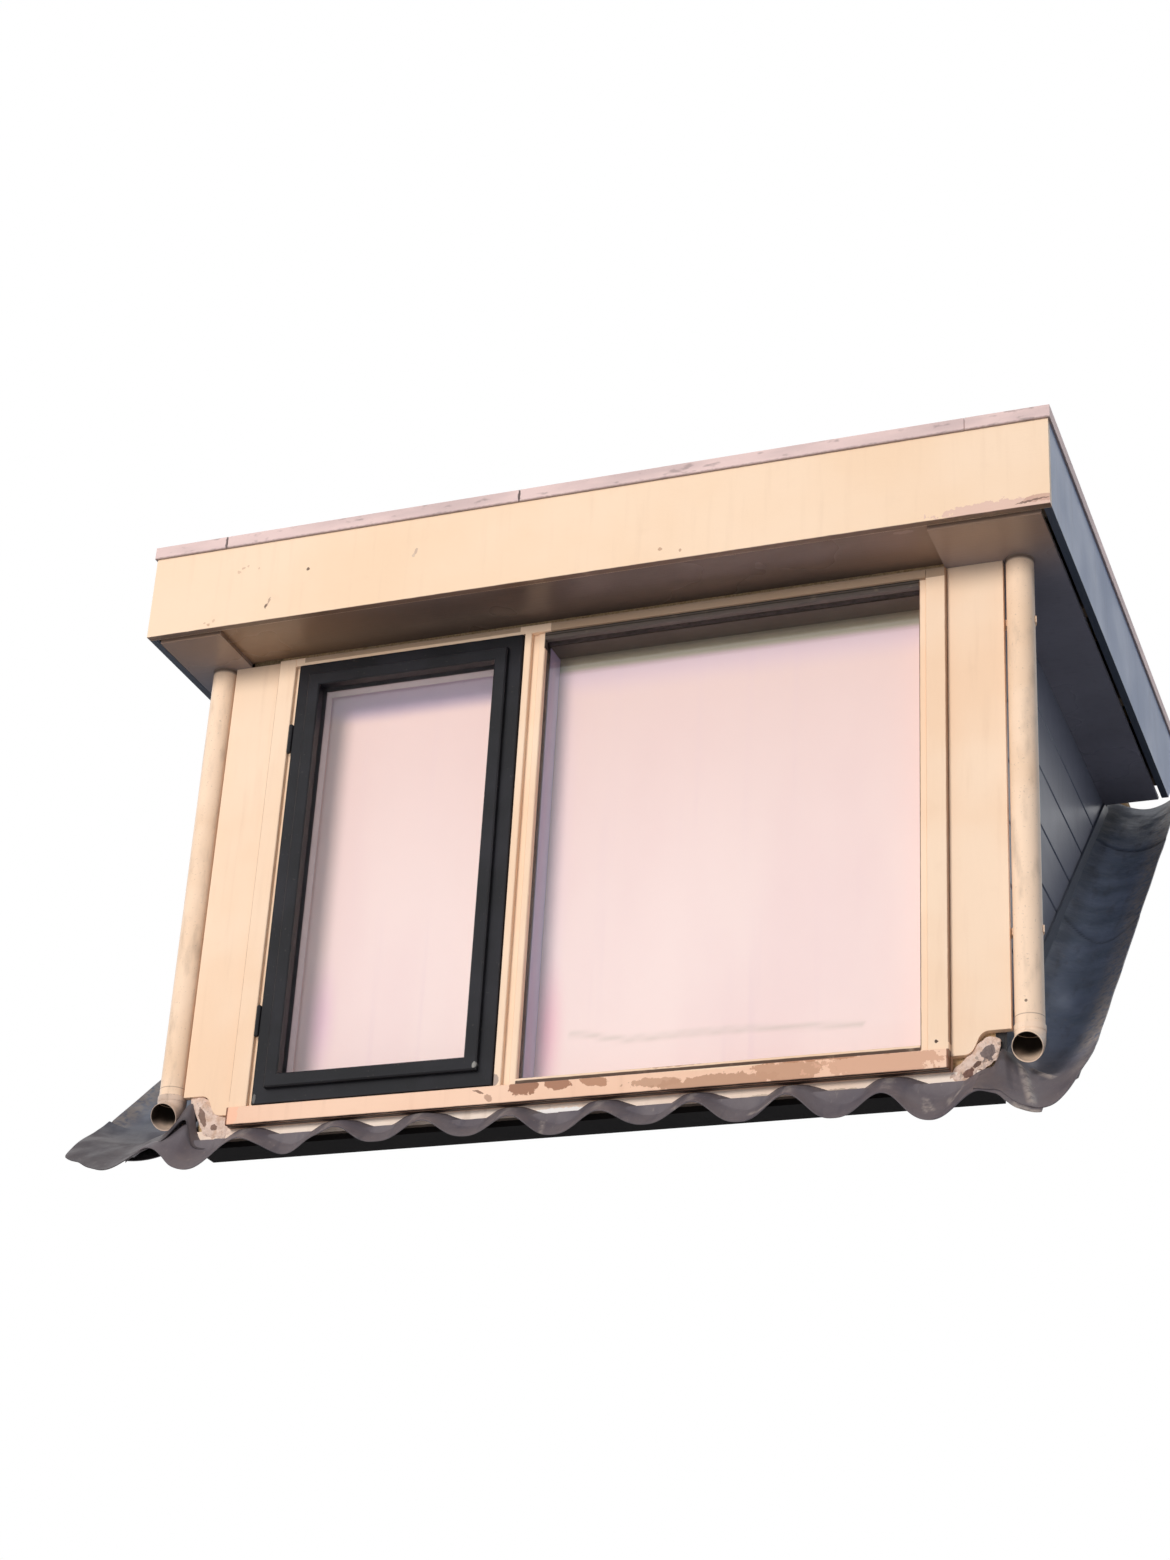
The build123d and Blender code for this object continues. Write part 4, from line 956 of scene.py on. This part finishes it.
def left_flap_marks(point):
    """Wear where the sheet is chafed, a painted shadow along its lower edge, and darker all over, most to
    the left of the post.
    """
    edge = along_edge(point.x, LEFT_FLAP_EDGE)
    # Painted shadow under the lower edge.
    low = 0.8 * (1 - smooth(point.y - edge, 0, 9)) * smooth(point.x, -1050, -1020)
    wear_and_painted_light = 0.5 * max(1 - to_segment(point.x, point.y, *LEFT_CHAFE) / 14, 0)
    return wear_and_painted_light, max(low, 0.3 + 0.4 * smooth(-point.x, 940, 1000))


for name, columns, rows, form, marks in (
    ("lead_corner_right", 120, 90, right_flap_form, right_flap_marks),
    ("lead_corner_left", 170, 80, left_flap_form, left_flap_marks),
):
    flap = laid_sheet(columns, rows, form, marks=marks)
    done(flap, name, "lead", ("lead_apron",))

LAPS = {
    1: (((944, 725), (1061, 638), (1134, 690)), ((944, 1196), (1028, 1182), (1134, 1150))),
    -1: (((-1247, 700), (-1100, 640), (-944, 660)), ((-1247, 1180), (-1100, 1150), (-944, 1170))),
}
UPSTAND = 0.12
UPSTAND_HEIGHT = 17
DENT = (1035, 350)


def channel_form(side):
    """The side channel: an upstand behind the cheek boards, the trough, and an outer edge dressed down."""
    inner, outer = side * CHANNEL_INNER, CHANNEL_OUTER[side]

    def form(u, v):
        across = u if side > 0 else 1 - u
        y = between(CHANNEL_TOP, CHANNEL_FOOT, v)
        x, rise = inner + side * 0.5, (UPSTAND - across) / UPSTAND * UPSTAND_HEIGHT
        if across >= UPSTAND:
            reach = outer - inner + side * (beaten(y, 0, 130, 2.5) - 20 * (1 - smooth(y, -20, 80)))
            x, rise = inner + (across - UPSTAND) / (1 - UPSTAND) * reach, 0
        step = sum(3 * smooth(y, along_edge(x, lap) - 2, along_edge(x, lap) + 3) for lap in LAPS[side])
        level = channel_lift(x, y, side) + rise + step
        if side > 0:
            level -= 9 * bump_at(math.hypot(x - DENT[0], (y - DENT[1]) * 0.7), 0, 26)
        return sloped(x, y, level - 3 - 4 * (1 - smooth(y, -30, 60)))

    return form


def channel_marks(side):
    """Wear along the outer edge; painted shade under the laps, along the cheek and at the foot, and the left
    channel darker all over.
    """

    def marks(point):
        wear_and_painted_light = 1 - smooth(abs(CHANNEL_OUTER[side] - point.x), 20, 64)
        # Painted shade: a dark line under each lap, at the foot and along the fold at the cheek.
        laps = [0.9 - abs(point.y - along_edge(point.x, lap) + 4) / 6 for lap in LAPS[side]]
        foot = 0.95 * (1 - smooth(abs(point.x), 972, 984)) * (1 - smooth(point.y, -30, -10))
        fold = 0.5 * (1 - smooth(abs(point.x), 962, 990))
        return wear_and_painted_light, max(*laps, foot, fold, 0 if side > 0 else 0.65)

    return marks


for side, name in ((-1, "left"), (1, "right")):
    channel = laid_sheet(34, 260, channel_form(side), marks=channel_marks(side))
    done(channel, f"lead_channel_{name}_dressed", "lead", (f"lead_channel_{name}",))

# Mortar pointed between the foot of each corner panel and the lead: its upper and its lower edge

MORTAR = {
    "left": (
        ((-963, 132), (-952, 134), (-940, 135), (-921, 118), (-898, 96), (-876, 78), (-851, 56)),
        ((-963, 104), (-958, 100), (-944, 80), (-929, 50), (-913, 28), (-894, 20), (-851, 22)),
    ),
    "right": (
        ((847, 31), (856, 48), (877, 65), (899, 90), (921, 110), (938, 113), (955, 107)),
        ((847, 25), (864, 14), (886, 18), (911, 40), (935, 52), (946, 60), (955, 90)),
    ),
}
MORTAR_BACK = -55


def pillow(share):
    """The height of a lump across it, blunt at both ends."""
    return math.sin(math.pi * min(max(share, 0.03), 0.97)) ** 0.5


def mortar_form(upper, lower):
    def form(u, v):
        x = between(upper[0][0], upper[-1][0], u)
        top = along_edge(x, upper) + rough(x / 14, 3, 1, 4)
        bottom = along_edge(x, lower) + rough(x / 11, 9, 4, 9)
        z = between(top, bottom, v)
        lump = 7 * pillow(u) * pillow(v) + rough(x / 9, z / 9, 5, 2.2) + rough(x / 26, z / 26, 2, 3)
        return Vector((x, MORTAR_BACK - lump, z + rough(x / 12, 2, z / 12, 1.2)))

    return form


for name, edges in MORTAR.items():
    lump = laid_sheet(60, 26, mortar_form(*edges), thickness=9)
    done(lump, f"mortar_{name}", "mortar")

# Panes: two sheets of float glass on an aluminium spacer

GLASS_SHEET = 4
GLASS_ARRIS = 0.6
SPACER_WIDTH = 13
SPACER_PLAY = 0.2
for name in ("fixed", "sash"):
    low, high = (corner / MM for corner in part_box(f"{name}_glass"))
    outer_sheet = block(low, (high.x, low.y + GLASS_SHEET, high.z), GLASS_ARRIS)
    inner_sheet = block((low.x, high.y - GLASS_SHEET, low.z), high, GLASS_ARRIS)
    done(outer_sheet, f"{name}_pane_outer", "glass", (f"{name}_glass",), 10)
    done(inner_sheet, f"{name}_pane_inner", "glass", (f"{name}_glass",), 10)
    bpy.ops.mesh.primitive_plane_add(size=1, location=(low + high) / 2 * MM, rotation=(math.pi / 2, 0, 0))
    spacer = bpy.context.object
    spacer.scale = ((high.x - low.x) * MM, (high.z - low.z) * MM, 1)
    bpy.ops.object.transform_apply(location=True, rotation=True, scale=True)
    open_mesh()
    bpy.ops.mesh.inset(thickness=SPACER_WIDTH * MM)
    bpy.ops.mesh.delete(type="FACE")
    bpy.ops.object.mode_set(mode="OBJECT")
    gap = high.y - low.y - 2 * GLASS_SHEET - SPACER_PLAY
    modifier(spacer, "SOLIDIFY", thickness=gap * MM, offset=0.0)
    modifier(spacer, "BEVEL", width=GLASS_ARRIS * MM, segments=2)
    done(spacer, f"{name}_spacer", "spacer")

# Blinds: cloth hung from the rollers, hanging a little uneven

CREASE_HEIGHT = 208


def crease_line(x):
    """The height of the shallow crease near the foot of the cloth."""
    return CREASE_HEIGHT + 10 * math.sin(x / 170)


for node in ("blind_casement", "blind_fixed"):
    low, high = (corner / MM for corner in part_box(node))
    width, drop = high.x - low.x, high.z - low.z
    middle = (low.y + high.y) / 2

    def blind_form(u, v):
        x = low.x + 0.5 + u * (width - 1)
        z = high.z - v * drop
        fold = 1.6 * math.sin(x / 58 + 0.6 * math.sin(z / 210)) + rough(x / 90, z / 400, 7, 1.1)
        crease = 0
        if x > -60:
            crease = 1.4 * bump_at(z, crease_line(x) + (24 if x < 0 else 0), 7)
        return Vector((x, middle + (fold - crease) * smooth(v, 0.0, 0.25), z))

    # The shares for the cloth: painted violet shade along the top and the left edge, and a tide line near
    # the foot with painted olive shade at the top of the fixed blind.
    def blind_marks(point):
        darkening = 0
        if -60 < point.x < 640:
            tide = crease_line(point.x) + 34 * (1 - smooth(point.x, -60, 120)) + rough(point.x / 45, 1, 8, 6)
            darkening = 0.35 * bump_at(point.z, tide, 6)
        if node == "blind_fixed":
            darkening = max(darkening, smooth(point.z, 1182, 1194))
            painted_violet_shade = 0.35 * smooth(point.z, 1098, 1182)
        else:
            painted_violet_shade = 0.9 * smooth(point.z, 1114, 1175)
        return max(painted_violet_shade, 0.2 * (1 - smooth(point.x - low.x, 12, 80))), darkening

    cloth = laid_sheet(90, 120, blind_form, thickness=0.6, marks=blind_marks)
    name = node.replace("blind", "cloth")
    done(cloth, name, "blind", (node,))

# Hinges: three knuckles on a pin, built up in steps of rise and radius

HINGE_FEET = {"lower": 254.3, "upper": 998.3}
KNUCKLE = 5.9
GROOVE = 5.2
PIN_FOOT = [(0, 2.2), (1.6, 4.2), (3.0, 4.6), (3.0, KNUCKLE)]
PIN_HEAD = [(77, KNUCKLE), (77, 4.6), (78.4, 4.2), (80, 2.2)]
for name, foot in HINGE_FEET.items():
    steps = list(PIN_FOOT)
    for joint in (27, 52):
        groove = ((-0.8, KNUCKLE), (-0.4, GROOVE), (0.4, GROOVE), (0.8, KNUCKLE))
        steps += [(joint + rise, radius) for rise, radius in groove]
    hinge = turned((-796.3, -82, foot), steps + PIN_HEAD)
    done(hinge, f"hinge_{name}", "sash", ("hinges",), 30)

# Pipe bends: a socket round the pipe and a bend that tips the water on to the lead

BEND_ANGLE = math.radians(60)
BEND_RADIUS = 42
BEND_START = ELBOW_TOP - 0.6
SOCKET_RADIUS = 34.3
BEND_PIPE = 33.2
OUTLET = 12
OUTWARD = Vector((0, -math.sin(BEND_ANGLE), -math.cos(BEND_ANGLE)))
BELOW = Vector((0, math.cos(BEND_ANGLE), -math.sin(BEND_ANGLE)))


def from_bend_line(point, middle):
    """How far a point lies from the middle line of the bend that turns about middle."""
    away = point - middle
    turn = math.atan2(-away.z, away.y)
    if turn < 0:
        return math.hypot(away.x, away.y - BEND_RADIUS)
    if turn > BEND_ANGLE:
        return math.hypot(away.x, away.dot(BELOW) - BEND_RADIUS)
    return math.hypot(away.x, math.hypot(away.y, away.z) - BEND_RADIUS)


for side, name in ((-1, "left"), (1, "right")):
    socket = Vector((side * PIPE_X, PIPE_Y, SOCKET_TOP))
    middle = Vector((side * PIPE_X, PIPE_Y - BEND_RADIUS, BEND_START))
    mouth = middle + BEND_RADIUS * BELOW + OUTLET * OUTWARD
    bpy.ops.mesh.primitive_circle_add(vertices=56, radius=SOCKET_RADIUS * MM, location=socket * MM)
    bend = bpy.context.object
    open_mesh()
    for drop, ratio in ((SOCKET_TOP - ELBOW_TOP - 1, 1.0), (1.6, BEND_PIPE / SOCKET_RADIUS)):
        draw_out((0, 0, -drop * MM), ratio, socket * MM)
    bpy.ops.mesh.spin(steps=20, angle=BEND_ANGLE, center=middle * MM, axis=(1, 0, 0))
    draw_out(OUTWARD * OUTLET * MM)
    bpy.ops.mesh.select_all(action="SELECT")
    bpy.ops.mesh.remove_doubles(threshold=0.01 * MM)
    bpy.ops.mesh.normals_make_consistent(inside=False)
    bpy.ops.object.mode_set(mode="OBJECT")
    modifier(bend, "SOLIDIFY", thickness=2.2 * MM, offset=-1.0)
    modifier(bend, "BEVEL", width=0.8 * MM, segments=2, limit_method="ANGLE")
    done(bend, f"bend_{name}", f"bend_{name}", (f"elbow_{name}",), 45)
    # Painted shade inside the bend, left off the lower inner wall by the mouth where light falls on it.
    darkening = bend.data.attributes.new("dirt_and_painted_shade", "FLOAT", "POINT")
    for index, vertex in enumerate(bend.data.vertices):
        point = vertex.co / MM
        below = smooth((point - mouth).dot(BELOW), 2, 20)
        lit = below * (1 - smooth((mouth - point).dot(OUTWARD), 20, 60))
        inside = 1 - smooth(from_bend_line(point, middle), 31.6, 32.3)
        darkening.data[index].value = inside * (1 - 0.85 * lit)

# Camera at the photograph's viewing angle, low in front and to the right of the dormer

IMAGE_SIZE = (1170, 1560)
FOCAL_PIXELS = 2708.18
SENSOR = 36.0
CAMERA_PLACE = (2.1143, -5.3049, -1.9961)
CAMERA_TURN = math.radians(22.114)
CAMERA_TILT = math.radians(26.583)
CAMERA_ROLL = math.radians(3.363)

lens = bpy.data.cameras.new("camera")
lens.sensor_fit = "VERTICAL"
lens.sensor_height = SENSOR
lens.lens = FOCAL_PIXELS / IMAGE_SIZE[1] * SENSOR
camera = bpy.data.objects.new("camera", lens)
camera.matrix_world = (
    Matrix.Translation(CAMERA_PLACE)
    @ Matrix.Rotation(CAMERA_TURN, 4, "Z")
    @ Matrix.Rotation(math.pi / 2 + CAMERA_TILT, 4, "X")
    @ Matrix.Rotation(CAMERA_ROLL, 4, "Z")
)
bpy.context.scene.collection.objects.link(camera)
bpy.context.scene.camera = camera

# Studio: a pale floor well below, one large soft lamp in front and a plain pale surround

FLOOR_LEVEL = -3.4
bpy.ops.mesh.primitive_plane_add(size=40, location=(0, 0, FLOOR_LEVEL))
floor = bpy.context.object
floor.name = "studio_floor"
floor_paint, floor_tree, floor_shader = begin_finish("studio_floor_paint", 0.9)[:3]
floor_shader.inputs["Base Color"].default_value = colour("E4E2DF")
floor_shader.inputs["Emission Color"].default_value = colour("F4F3F1")
seen = {0: add(floor_tree, "ShaderNodeLightPath").outputs["Is Camera Ray"], 1: 0.55}
add(floor_tree, "ShaderNodeMath", seen, to=floor_shader.inputs["Emission Strength"], operation="MULTIPLY")
floor.data.materials.append(floor_paint)

KEY_AZIMUTH = math.radians(-11.5)
KEY_HEIGHT = math.radians(13.5)
KEY_DISTANCE = 13.0
target = Vector((0, 0, 0.8))
towards = Vector((
    math.sin(KEY_AZIMUTH) * math.cos(KEY_HEIGHT),
    -math.cos(KEY_AZIMUTH) * math.cos(KEY_HEIGHT),
    math.sin(KEY_HEIGHT),
))
lamp = bpy.data.lights.new("key", "AREA")
lamp.shape = "DISK"
lamp.size = 5.0
lamp.energy = 1270
lamp.color = colour("FFFAF4")[:3]
key = bpy.data.objects.new("key", lamp)
key.location = target + KEY_DISTANCE * towards
key.rotation_euler = towards.to_track_quat("Z", "Y").to_euler()
key.visible_glossy = False
key.visible_transmission = False
bpy.context.scene.collection.objects.link(key)

world = bpy.data.worlds.new("surround")
world.use_nodes = True
surround = world.node_tree
surround.nodes.clear()
rays = add(surround, "ShaderNodeLightPath")
plain_view = rays.outputs["Is Camera Ray"]
for kind in ("Is Glossy Ray", "Is Transmission Ray"):
    plain_view = add(surround, "ShaderNodeMath", {0: plain_view, 1: rays.outputs[kind]}, operation="MAXIMUM")
fill = add(surround, "ShaderNodeBackground", {"Color": colour("D6E2F8"), "Strength": 0.3})
pale = add(surround, "ShaderNodeBackground", {"Color": (1, 1, 1, 1), "Strength": 1.0})
mixed = add(surround, "ShaderNodeMixShader", {0: plain_view, 1: fill, 2: pale})
add(surround, "ShaderNodeOutputWorld", {"Surface": mixed})
bpy.context.scene.world = world
bpy.context.scene.view_settings.view_transform = "Standard"
